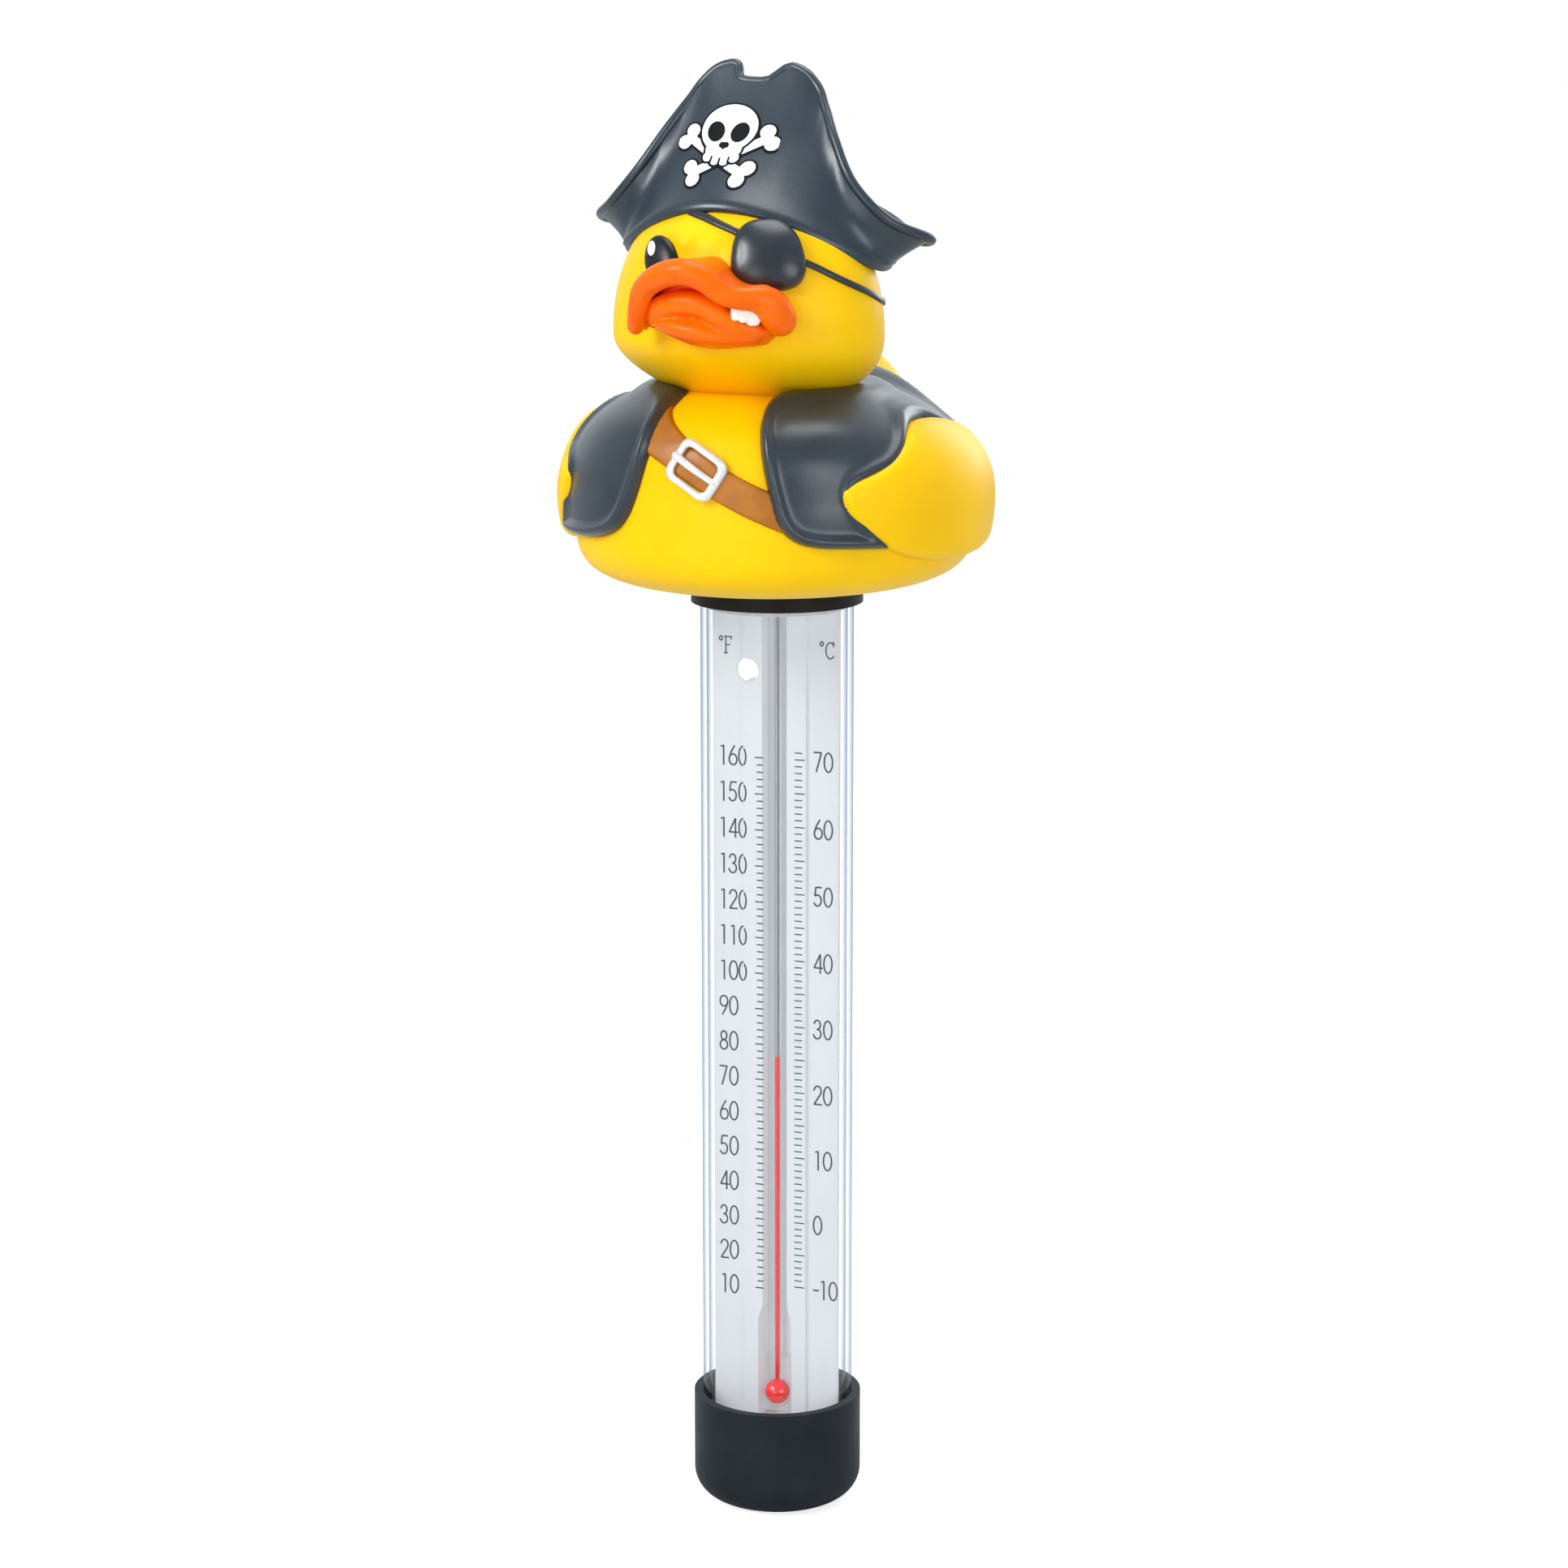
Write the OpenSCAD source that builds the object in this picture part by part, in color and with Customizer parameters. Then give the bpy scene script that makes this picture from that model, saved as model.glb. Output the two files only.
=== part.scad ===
// Floating pool thermometer: a clear tube with a scale card and a red spirit
// thermometer, under a hollow duck that keeps it upright in the water.
// The origin is on the tube's axis at the flat foot. The duck faces -Y, +Z is up.

/* [Tube and cap] */
// Outside diameter of the clear tube
tube_od = 25; // [22:0.5:26]
// Wall of the clear tube
tube_wall = 1; // [0.8:0.1:1.4]
// Wall of the end cap and of the collar outside the tube
sleeve_wall = 1.5; // [1.4:0.1:2.2]
// Height of the end cap
cap_h = 18.3; // [17:0.1:20]
// Radius of the end cap's lower edge
cap_edge_r = 4.8; // [2:0.2:6]
// Thickness of the end cap's floor
cap_floor = 3.4; // [2.4:0.2:3.6]
// Height at which the collar begins
collar_z = 152.9; // [148:0.1:155]

/* [Scale card] */
// Width of the card
card_w = 21.7; // [18:0.1:21.8]
// Height of the card's lower edge
card_z = 13; // [12.8:0.1:14]
// Half width of the raised bands beside the channel
band_w = 5.4; // [4.5:0.1:7]
// Half width of the channel
channel_w = 2.15; // [1.7:0.05:2.6]
// Angle that the card and the tether eye are turned from the duck
stem_turn = 3; // [-10:1:10]
// Height of the round hole in the card
card_hole_z = 141.2; // [135:0.1:145]

/* [Thermometer] */
// Radius of the capillary glass
glass_r = 1.5; // [1.3:0.05:1.6]
// Radius of the red column
column_r = 0.36; // [0.25:0.01:0.45]
// Radius of the liquid in the bulb
bulb_r = 2.1; // [1.8:0.05:2.2]
// Height of the bulb's centre
bulb_z = 17.6; // [17:0.1:18.5]
// Height of the red column's top as shown
reading_z = 76.2; // [36.1:0.1:126.7]

/* [Duck] */
// Half width of the duck's body
body_a = 31.9; // [29:0.1:33]
// Length of the body in front of its widest section
body_front = 33; // [30:0.5:34]
// Length of the body behind its widest section
body_back = 36; // [33:0.5:38]
// Half width of the head
head_a = 22; // [20:0.2:23]
// Half length of the head
head_b = 17; // [15.5:0.25:18]
// Wall of the hollow body and head
shell_t = 1.4; // [1.2:0.1:2]
// Thickness of the coat
coat_t = 1.3; // [0.9:0.1:1.8]
// Thickness of the belt
belt_t = 0.7; // [0.5:0.1:1]
// Length of the buckle along the belt
buckle_x = 9; // [8:0.1:10]
// Width of the buckle across the belt
buckle_y = 7.7; // [7:0.1:8.6]

/* [Hat] */
// Half width of the hat from corner to corner
hat_a = 28.5; // [26:0.5:30]
// Thickness of the hat's turned-up brim
brim_t = 2; // [1.6:0.1:2.6]

/* [Tether eye] */
// Radius of the hole for a tether
eye_r = 1.5; // [1.2:0.1:1.6]
// Distance of the hole from the tube's axis
eye_y = 17; // [16.8:0.1:17.4]

/* [Hidden] */

round_fn = 96;
tube_r = tube_od / 2;
tube_in = tube_r - tube_wall;
sleeve_r = tube_r + sleeve_wall;
play = 0.05;
gasket_t = 0.8;
tube_z = cap_floor + gasket_t;
ballast_top = 12;
socket_h = 3;
collar_top = 158.5;
tube_top = collar_z + socket_h;
pad_t = 1;
card_top = collar_z - pad_t;
lug_t = 2.2;
lug_z = collar_z - 0.5;
boss_r = 7;
clip_z = 162.7;
clip_t = 1.2;
boss_top = 165.5;
neck_z = 20.2;
tip_h = 0.6;
bore_r = column_r + 0.04;
bulb_glass = 0.5;

// Heights of the duck's widest sections, undersides and tops
body_z = 168.5;
body_low = 12.6;
body_high = 20.5;
head_z = 197;
head_low = 13;
head_high = 24;
opening_r = 14.6;

// ---------- shared shapes ----------

// A smooth step from 0 to 1 as v goes from a to b
function ease(v, a, b) = let (k = max(0, min(1, (v - a) / (b - a)))) k * k * (3 - 2 * k);

// The share of the full width that a rounded section has at height share s
function bulge(s, p) = pow(max(0, 1 - pow(abs(s), p)), 1 / p);

// A closed solid through rings of points, each with the same count, capped at both ends
module loft(rings) {
    n = len(rings[0]);
    last = len(rings) - 1;
    sides = [
        for (k = [0 : last - 1], i = [0 : n - 1])
            let (j = (i + 1) % n, low = k * n, high = low + n)
                each [[low + i, low + j, high + i], [low + j, high + j, high + i]]
    ];
    first_cap = [for (i = [n - 1 : -1 : 0]) i];
    last_cap = [for (i = [0 : n - 1]) last * n + i];
    polyhedron([for (ring = rings) each ring], concat([first_cap], sides, [last_cap]));
}

// A closed sheet between an outer and an inner list of sections, its two ends closed strip by strip
module sheet(outer, inner) {
    m = len(outer[0]);
    n = 2 * m;
    last = len(outer) - 1;
    top = last * n;
    sides = [
        for (k = [0 : last - 1], i = [0 : n - 1])
            let (j = (i + 1) % n, low = k * n, high = low + n)
                each [[low + i, low + j, high + i], [low + j, high + j, high + i]]
    ];
    ends = [
        for (i = [0 : m - 2])
            let (a = n - 1 - i, b = n - 2 - i)
                each [[b, i + 1, i], [a, b, i], [top + i, top + i + 1, top + b], [top + i, top + b, top + a]]
    ];
    points = [for (k = [0 : last]) each concat(outer[k], [for (i = [m - 1 : -1 : 0]) inner[k][i]])];
    polyhedron(points, concat(sides, ends));
}

// An egg of given half sizes, as rings from its lower to its upper end
function egg(size, n = 28, rows = 12) = [
    for (k = [0 : rows])
        let (u = -84 + 168 * k / rows)
            [for (i = [0 : n - 1])
                let (t = -360 * i / n)
                    [size.x * cos(u) * cos(t), size.y * cos(u) * sin(t), size.z * sin(u)]]
];

// ---------- the duck's surfaces ----------

// How far back the body's section lies at height z
function body_shift(z) = -1 - 4.5 * ease(z, 172, 187);

// The share of the tail at angle t (90 is the back) and height z
function tail(t, z) =
    exp(-pow((t - 90) / 26, 2)) * ease(z, 160, 181) * (1 - ease(z, 181.5, 187));

// A point of the body at angle t and height z, moved out by g
function body_point(t, z, g = 0) =
    let (
        s = z < body_z ? (body_z - z) / body_low : (z - body_z) / body_high,
        share = bulge(s, z < body_z ? 4 : 2.5),
        b = sin(t) < 0 ? body_front : body_back,
        w = tail(t, z)
    ) [
        (body_a * share + g) * cos(t),
        body_shift(z) + (b * share + g) * sin(t) + 13.5 * w,
        z + 8.2 * w
    ];

// A point of the head at angle t and height z, moved out by g
function head_point(t, z, g = 0) =
    let (
        s = z < head_z ? (head_z - z) / head_low : (z - head_z) / head_high,
        share = z < head_z ? pow(max(0, 1 - s * s), 0.65) : bulge(s, 2.2)
    ) [
        (head_a * share + g) * cos(t),
        -12 + 5 * (1 - ease(z, 186, 197)) + (head_b * share + g) * sin(t),
        z
    ];

// A vector of length 1
function unit(v) = v / norm(v);

// A point at a distance g from the body's skin, square to it
function off_body(t, z, g) =
    body_point(t, z) + g * unit(cross(
        body_point(t + 1, z) - body_point(t - 1, z),
        body_point(t, z + 0.3) - body_point(t, z - 0.3)
    ));

// Heights from z0 to z1 in a number of steps, closer together near both ends
function levels(z0, z1, steps) = [for (k = [0 : steps]) z0 + (z1 - z0) * (1 - cos(180 * k / steps)) / 2];

// ---------- stem ----------

module end_cap() {
    color("#23282e") rotate_extrude($fn = round_fn) difference() {
        union() {
            square([sleeve_r - cap_edge_r, cap_h]);
            translate([0, cap_edge_r]) square([sleeve_r, cap_h - cap_edge_r]);
            translate([sleeve_r - cap_edge_r, cap_edge_r]) circle(r = cap_edge_r);
        }
        translate([0, cap_floor]) square([tube_r + play, cap_h]);
        translate([-sleeve_r, -1]) square([sleeve_r, cap_h + 2]);
    }
}

module ballast_weight() {
    color("#8b8f94") translate([0, 0, tube_z]) rotate_extrude($fn = round_fn)
        polygon([
            [0, 0], [tube_in - 1, 0], [tube_in - 0.3, 0.7],
            [tube_in - 0.3, ballast_top - tube_z - 0.7],
            [tube_in - 1, ballast_top - tube_z], [0, ballast_top - tube_z]
        ]);
}

// A flat rubber ring that a tube end presses on
module gasket(z) {
    color("#3a3a3a") translate([0, 0, z]) difference() {
        cylinder(r = tube_r, h = gasket_t, $fn = round_fn);
        translate([0, 0, -1]) cylinder(r = tube_in, h = gasket_t + 2, $fn = round_fn);
    }
}

module cap_gasket() { gasket(cap_floor); }

module collar_gasket() { gasket(tube_top - gasket_t); }

module foot_pad() {
    color("#e8e8e4") translate([0, 0, ballast_top])
        cylinder(r = tube_in - 0.2, h = card_z - ballast_top, $fn = round_fn);
}

module head_pad() {
    color("#cfccc6") translate([0, 0, card_top]) difference() {
        cylinder(r = tube_in - 0.2, h = pad_t, $fn = round_fn);
        translate([0, 0, -1]) cylinder(r = glass_r + play, h = pad_t + 2, $fn = round_fn);
    }
}

module clear_tube() {
    color("#dfe9ef", 0.3) translate([0, 0, tube_z]) difference() {
        cylinder(r = tube_r, h = tube_top - gasket_t - tube_z, $fn = round_fn);
        translate([0, 0, -1]) cylinder(r = tube_in, h = tube_top, $fn = round_fn);
    }
}

// The channel's outline in front, wider at the foot, with a short slope between
module channel_outline() {
    foot_w = channel_w + 0.8;
    polygon([
        [-foot_w, 0], [foot_w, 0], [foot_w, 30.6], [channel_w, 33.1],
        [channel_w, card_top + 1], [-channel_w, card_top + 1],
        [-channel_w, 33.1], [-foot_w, 30.6]
    ]);
}

module scale_card() {
    front = -0.8;
    band_front = -1.4;
    floor_y = 1.6;
    pocket_y = 3;
    back = 3.8;
    color("#eef0f0") rotate([0, 0, stem_turn]) difference() {
        union() {
            translate([-card_w / 2, front, card_z]) cube([card_w, 1, card_top - card_z]);
            translate([-band_w, band_front, card_z])
                cube([2 * band_w, back - band_front, card_top - card_z]);
        }
        translate([0, floor_y, 0]) rotate([90, 0, 0]) linear_extrude(10) channel_outline();
        translate([-channel_w - 0.8, -5, 0]) cube([2 * channel_w + 1.6, 5 + pocket_y, 24]);
        translate([-4.8, -5, card_hole_z]) rotate([-90, 0, 0])
            cylinder(r = 2, h = 12, $fn = 48);
    }
}

module capillary_glass() {
    glass_top = collar_z;
    color("#e6f0f2", 0.35) difference() {
        union() {
            translate([0, 0, bulb_z]) cylinder(r = glass_r, h = glass_top - bulb_z, $fn = 48);
            translate([0, 0, bulb_z]) sphere(r = bulb_r + bulb_glass, $fn = 64);
        }
        translate([0, 0, bulb_z]) sphere(r = bulb_r + 0.05, $fn = 64);
        translate([0, 0, bulb_z]) cylinder(r = bore_r, h = glass_top, $fn = 24);
    }
}

module bulb_liquid() {
    color("#e0121c") translate([0, 0, bulb_z]) {
        sphere(r = bulb_r, $fn = 64);
        cylinder(r = column_r, h = neck_z - bulb_z, $fn = 24);
    }
}

module liquid_column() {
    color("#e8202a") translate([0, 0, neck_z])
        cylinder(r = column_r, h = reading_z - tip_h - neck_z, $fn = 24);
}

module liquid_tip() {
    color("#e8202a") translate([0, 0, reading_z - tip_h]) {
        cylinder(r = column_r, h = tip_h - column_r / 2, $fn = 24);
        cylinder(r = column_r / 2, h = tip_h, $fn = 24);
    }
}

module collar() {
    color("#1d1b1a") difference() {
        union() {
            translate([0, 0, collar_z]) cylinder(r = sleeve_r, h = collar_top - collar_z, $fn = round_fn);
            cylinder_span(boss_r, collar_z, boss_top);
            rotate([0, 0, stem_turn]) tether_lug();
        }
        difference() {
            translate([0, 0, collar_z - 1]) cylinder(r = tube_r + play, h = socket_h + 1, $fn = round_fn);
            translate([0, 0, collar_z]) cylinder(r = tube_in - play, h = socket_h + 1, $fn = round_fn);
        }
        translate([0, 0, clip_z - 0.05]) difference() {
            cylinder(r = boss_r + 1, h = clip_t + 0.1, $fn = round_fn);
            translate([0, 0, -1]) cylinder(r = boss_r - 1, h = clip_t + 2, $fn = round_fn);
        }
        rotate([0, 0, stem_turn]) translate([0, eye_y, lug_z - 1])
            cylinder(r = eye_r, h = lug_t + 2, $fn = 48);
    }
}

// A plain round post from height z0 to z1
module cylinder_span(r, z0, z1) {
    translate([0, 0, z0]) cylinder(r = r, h = z1 - z0, $fn = round_fn);
}

// The flat tab behind the collar that carries the tether's hole
module tether_lug() {
    lug_r = eye_r + 2;
    translate([0, 0, lug_z]) difference() {
        union() {
            translate([0, eye_y, 0]) cylinder(r = lug_r, h = lug_t, $fn = 64);
            translate([-lug_r, tube_r + 0.7, 0]) cube([2 * lug_r, eye_y - tube_r - 0.7, lug_t]);
        }
        translate([0, 0, -1]) cylinder(r = tube_r + 0.6, h = lug_t + 2, $fn = round_fn);
    }
}

module swivel_clip() {
    color("#b9bcc0") translate([0, 0, clip_z]) difference() {
        cylinder(r = boss_r + 2, h = clip_t, $fn = round_fn);
        translate([0, 0, -1]) cylinder(r = boss_r - 1 + play, h = clip_t + 2, $fn = round_fn);
        translate([0, -2.5, -1]) cube([boss_r + 4, 5, clip_t + 2]);
    }
}

// ---------- duck ----------

module float_bush() {
    flange_z = 157.4;
    plate_z = collar_top + 0.1;
    bush_top = clip_z - 0.2;
    color("#3a3936") difference() {
        union() {
            cylinder_span(opening_r + 4, flange_z, flange_z + 1.2);
            cylinder_span(opening_r + 2, flange_z, bush_top);
        }
        cylinder_span(opening_r, flange_z - 1, plate_z);
        cylinder_span(boss_r + play, flange_z, bush_top + 1);
    }
}

// Rings of a hollow shell: down its outer face, round the opening, up its inner face
module duck_body() {
    n = 44;
    outer = levels(156.15, 187.6, 14);
    inner = levels(156.15 + shell_t, 186, 12);
    opening = [
        for (z = [155.9, 155.9 + shell_t])
            [for (i = [0 : n - 1]) [opening_r * cos(360 * i / n), opening_r * sin(360 * i / n), z]]
    ];
    color("#ffc908") loft(concat(
        [for (k = [len(outer) - 1 : -1 : 0])
            [for (i = [0 : n - 1]) body_point(360 * i / n, outer[k])]],
        [for (ring = opening) ring],
        [for (z = inner) [for (i = [0 : n - 1]) body_point(360 * i / n, z, -shell_t)]]
    ));
}

module duck_head() {
    n = 40;
    outer = levels(187.2, 218, 12);
    inner = levels(187.2, 216, 10);
    color("#ffc908") loft(concat(
        [for (k = [len(outer) - 1 : -1 : 0])
            [for (i = [0 : n - 1]) head_point(360 * i / n, outer[k])]],
        [for (z = inner) [for (i = [0 : n - 1]) head_point(360 * i / n, z, -shell_t)]]
    ));
}

// Upper and lower edge of a wing by the angle from the duck's side, its tip at the front
wing_top = [[-49.3, 174.2], [-47, 175.8], [-43, 176.6], [-36.5, 177.6], [-30, 179], [-24, 180.6], [-17, 182.3],
    [-7, 183.2], [6, 182.9], [22, 181], [38, 177.2], [52, 171.6]];
wing_low = [[-49.3, 173.8], [-48.2, 171.5], [-45, 169.4], [-39, 166.6], [-31, 164.3], [-20, 162.9], [-6, 162.4],
    [12, 162.7], [30, 164.2], [46, 167.2], [52, 171.2]];

// The angle of a point of a wing: the right wing lies further back at the front
function wing_turn(side, t) = side > 0 ? t : -180 - t - 13 * (1 - ease(t, -48, 5));

module wing(side) {
    n = 20;
    rows = 20;
    rings = [
        for (k = [0 : rows])
            let (
                v = (1 - cos(180 * k / rows)) / 2,
                t = -49.3 + 101.3 * v,
                high = lookup(t, wing_top),
                low = lookup(t, wing_low),
                proud = 0.4 + 2.8 * pow(sin(180 * v), 0.35)
            )
                [for (i = [0 : n - 1])
                    let (
                        w = side * 360 * i / n,
                        c = cos(w),
                        out = -0.5 + (proud + 0.5) * (c > 0 ? pow(c, 0.6) : c * 0.2)
                    )
                        body_point(wing_turn(side, t), (high + low) / 2 + (high - low) / 2 * sin(w), out)]
    ];
    color("#ffc908") loft(rings);
}

module left_wing() { wing(1); }

module right_wing() { wing(-1); }

// How far from the front the coat opens, by height, on the duck's left and right
left_open = [[165.2, 38], [166.5, 29.5], [168.3, 25.2], [171, 22.4], [177, 20.8], [182.2, 20.8], [185, 21.8],
    [186.8, 25], [187.3, 31]];
right_open = [[164.9, 44], [165.9, 35], [167.4, 27], [170, 22], [173.4, 19.2], [177.4, 17.2], [181, 16.6],
    [184.2, 18.5], [186.4, 22.5], [187.3, 29]];

// Height of the coat's hem, by the angle from the front
hem = [[0, 165.2], [60, 165.2], [76, 166.2], [98, 171], [114, 175], [140, 181.2], [160, 183.2], [180, 184.2]];

// The coat: a skin on the body, open at the chest and cut short over the tail
module coat() {
    rows = 13;
    cols = 44;
    neck_z = 187.3;
    function section(i, g) =
        let (
            side = i < cols / 2 ? -1 : 1,
            back = 1 - abs(2 * i / cols - 1),
            low = lookup(180 * back, hem)
        ) [
            for (k = [0 : rows])
                let (
                    z = low + (neck_z - low) * (1 - pow(1 - k / rows, 1.5)),
                    open = lookup(z, side < 0 ? left_open : right_open),
                    from_front = open + (180 - open) * back
                )
                    off_body(side < 0 ? from_front - 90 : -90 - from_front, z, g)
        ];
    color("#2c343c") sheet(
        [for (i = [0 : cols]) section(i, coat_t)],
        [for (i = [0 : cols]) section(i, -0.4)]
    );
}

// Height of the belt's middle by the angle round the body
belt_line = [[-114, 183.9], [-107.5, 182.6], [-98.5, 180.6], [-89.5, 178], [-81.5, 175.5], [-74.5, 173.5],
    [-65, 171.2], [-59, 170]];

module shoulder_belt() {
    steps = 22;
    function belt_ring(k) = let (t = -114 + 55 * k / steps, z = lookup(t, belt_line)) [
        body_point(t + 2.1, z + 2.3, belt_t),
        body_point(t + 2.1, z + 2.3, -0.4),
        body_point(t - 2.1, z - 2.3, -0.4),
        body_point(t - 2.1, z - 2.3, belt_t)
    ];
    color("#a8651c") loft([for (k = [0 : steps]) belt_ring(k)]);
}

// Where the buckle lies on the body, with X along the belt and Z outwards
module at_buckle() {
    p = body_point(-89, 177.9);
    out = unit(cross(
        body_point(-84, 177.9) - body_point(-94, 177.9),
        body_point(-89, 180) - body_point(-89, 176)
    ));
    slope = body_point(-79, 174.6) - body_point(-97, 180.3);
    along = unit(slope - out * (slope * out));
    across = cross(out, along);
    multmatrix([
        [along.x, across.x, out.x, p.x],
        [along.y, across.y, out.y, p.y],
        [along.z, across.z, out.z, p.z]
    ]) children();
}

// A flat rectangle with rounded corners
module rounded_outline(x, y, r) {
    square([x, y - 2 * r], center = true);
    square([x - 2 * r, y], center = true);
    for (i = [-1, 1], j = [-1, 1])
        translate([i * (x / 2 - r), j * (y / 2 - r)]) circle(r = r, $fn = 32);
}

module buckle_frame() {
    color("#dfe2e4") at_buckle() translate([0, 0, 0.5]) linear_extrude(1.25) difference() {
        rounded_outline(buckle_x, buckle_y, 2);
        rounded_outline(buckle_x - 3, buckle_y - 3, 0.8);
    }
}

module buckle_prong() {
    color("#dfe2e4") at_buckle() translate([-buckle_x / 2 + 0.6, 0, 1.5]) rotate([0, 90, 0])
        cylinder(r = 0.55, h = buckle_x - 1.2, $fn = 24);
}

// ---------- head fittings ----------

// Height and half thickness of the upper lip, height of its root and of the lower lip's top and
// underside, all by the angle from the front towards the duck's left
lip_z = [[-66, 198.9], [-60, 200.2], [-54, 201.7], [-48, 203.5], [-41, 205.3], [-32, 206.6], [-22, 207.4],
    [-4, 208.3], [9, 207.9], [19, 206.6], [28, 205.1], [39, 204.4], [50, 204.3], [58, 203.9],
    [66, 202.9], [72, 201.7], [80, 200]];
lip_r = [[-66, 1.3], [-54, 1.55], [-40, 1.85], [-5, 2.1], [20, 1.9], [36, 1.75], [46, 1.9], [56, 2.35],
    [65, 2.8], [73, 2.75], [80, 2.3]];
root_z = [[-66, 200.2], [-54, 203.4], [-41, 206.4], [-22, 208.3], [-4, 209.3], [9, 209.2], [19, 207.8],
    [28, 206.7], [39, 206], [50, 205.6], [58, 205.2], [66, 204.2], [80, 201.4]];
low_top = [[-56, 201], [-49, 201.9], [-40, 203.3], [-31, 204.4], [-11, 205.3], [6, 205.1], [17, 203.9],
    [25, 202.7], [39, 201.4], [51, 200.5], [61, 200.1], [70, 199.8]];
low_bottom = [[-56, 199.6], [-43, 198.9], [-23, 197.4], [-2, 196.3], [14, 196.1], [31, 196.4], [51, 196.8],
    [61, 197.8], [70, 198.6]];

// A point of the bill's outline at angle a from the front and height z
function bill_point(a, left, right, reach, z) = [(a > 0 ? right : left) * sin(a), -27 - reach * cos(a), z];

// A flat oval ring from a front point to a back point, upright
function bill_ring(front, back, half_front, half_back, n = 9) =
    let (
        along = unit(front - back),
        up = unit([0, 0, 1] - along * along.z)
    ) concat(
        [for (i = [0 : n - 1]) let (w = -90 + 180 * i / (n - 1)) front + half_front * (along * cos(w) + up * sin(w))],
        [for (i = [0 : n - 1]) let (w = -90 + 180 * i / (n - 1)) back - half_back * (along * cos(w) + up * sin(w))]
    );

module upper_bill() {
    steps = 28;
    color("#ff6a0a") loft([
        for (k = [0 : steps])
            let (
                a = -64 + 140 * k / steps,
                r = lookup(a, lip_r),
                front = bill_point(a, 11.8, 12.9, 10.6, lookup(a, lip_z)),
                back = [front.x * 0.84, -24 + 0.3 * abs(front.x), lookup(a, root_z) - 1.1]
            )
                bill_ring(front, back, r, 0.85 * r)
    ]);
}

module lower_bill() {
    steps = 22;
    color("#ff6a0a") loft([
        for (k = [0 : steps])
            let (
                a = -52 + 117 * k / steps,
                high = lookup(a, low_top),
                low = lookup(a, low_bottom),
                half = max(0.8, (high - low) / 2),
                front = bill_point(a, 10.8, 12, 8.9, (high + low) / 2) + [0, half * 0.9, 0],
                back = [front.x * 0.9, -24, (high + low) / 2]
            )
                bill_ring(front, back, half, half * 0.8)
    ]);
}

module teeth() {
    sizes = [[35.5, 202.5, 0.85], [41.5, 202.2, 1.05], [48.5, 201.7, 1.15]];
    color("#f4efe2") for (s = sizes)
        translate(bill_point(s[0], 11, 12.7, 9.3, s[1])) rotate([0, 0, 0.8 * s[0]])
            loft(egg([s[2], 0.8, 1.55], 16, 8));
}

// Places a part on the head at angle t and height z, facing outwards and leaning up by a little
module on_head(t, z) {
    n = [cos(t) / head_a, sin(t) / head_b];
    translate(head_point(t, z, 0.1)) rotate([0, 0, atan2(n.x, -n.y)]) rotate([-12, 0, 0]) children();
}

module right_eye() { color("#0d0f12") on_head(-115.5, 208.6) loft(egg([3.5, 1.5, 4.3])); }

module eye_patch() { color("#14191f") on_head(-62.5, 210) loft(egg([5.8, 2.9, 5.1])); }

// Height of the strap's middle by the angle round the head
strap_line = [[-130, 217.7], [-123, 217.1], [-110, 216.4], [-97, 215.5], [-76.5, 213.4], [-60, 211], [-44, 209],
    [-27, 206.4], [-11, 204.5], [10, 202.6], [40, 201.6], [80, 202.6], [115, 205.5], [150, 209.5],
    [180, 213.5], [196, 216]];

// A thin flat band round the head, from the hat over the patch and round the back
module patch_strap() {
    steps = 48;
    function strap_ring(k) = let (t = -130 + 326 * k / steps, z = lookup(t, strap_line)) [
        head_point(t, z + 0.55, 0.45),
        head_point(t, z + 0.55, -0.3),
        head_point(t, z - 0.55, -0.3),
        head_point(t, z - 0.55, 0.45)
    ];
    color("#1a1d21") loft([for (k = [0 : steps]) strap_ring(k)]);
}

// ---------- hat ----------

// The fold where the brim turns up, at angle a from the front
function hat_fold(a) =
    let (c = cos(a))
        [21.9 * sin(a), -8 - (c > 0 ? 15.5 : 17) * c, 208.7 + (c > 0 ? 8.5 : 4) * c * c];

// Share of the hat's half width, depth and height of the brim's upper edge, by angle from the front
edge_x = [[0, 0], [12, 0.165], [24, 0.316], [36, 0.414], [50, 0.509], [65, 0.649], [78, 0.835], [90, 1],
    [105, 0.884], [120, 0.744], [135, 0.575], [157, 0.302], [180, 0]];
edge_y = [[0, -6.3], [24, -6.8], [36, -8.6], [50, -11.4], [65, -13.8], [78, -12.2], [90, -5.9], [105, -1],
    [120, 3.6], [135, 7.2], [157, 10.3], [180, 11.3]];
edge_z = [[0, 238.8], [13, 238.6], [20, 237.9], [26, 236.2], [36, 232.8], [50, 228.2], [65, 221.8], [78, 216.4],
    [90, 213.6], [105, 212.7], [120, 213.8], [135, 215.7], [157, 218.2], [180, 219]];

// Depth of the notch in the front edge by distance from the middle
notch = [[-5.2, 0], [-4.6, 0.15], [-4.1, 0.5], [-3.8, 1.9], [-3.2, 2.6], [-1.5, 2.85], [0.5, 2.85], [2, 2.5],
    [3.2, 1.5], [4.3, 0.5], [5.4, 0]];

// The brim's upper edge at angle a from -180 to 180, and how far the notch cuts into it there
function hat_edge(a) =
    let (m = abs(a), side = a < 0 ? -1 : 1)
        [side * hat_a * lookup(m, edge_x), lookup(m, edge_y), lookup(m, edge_z)];
function notch_depth(a) = abs(a) < 60 ? lookup(hat_edge(a).x, notch) : 0;

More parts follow.
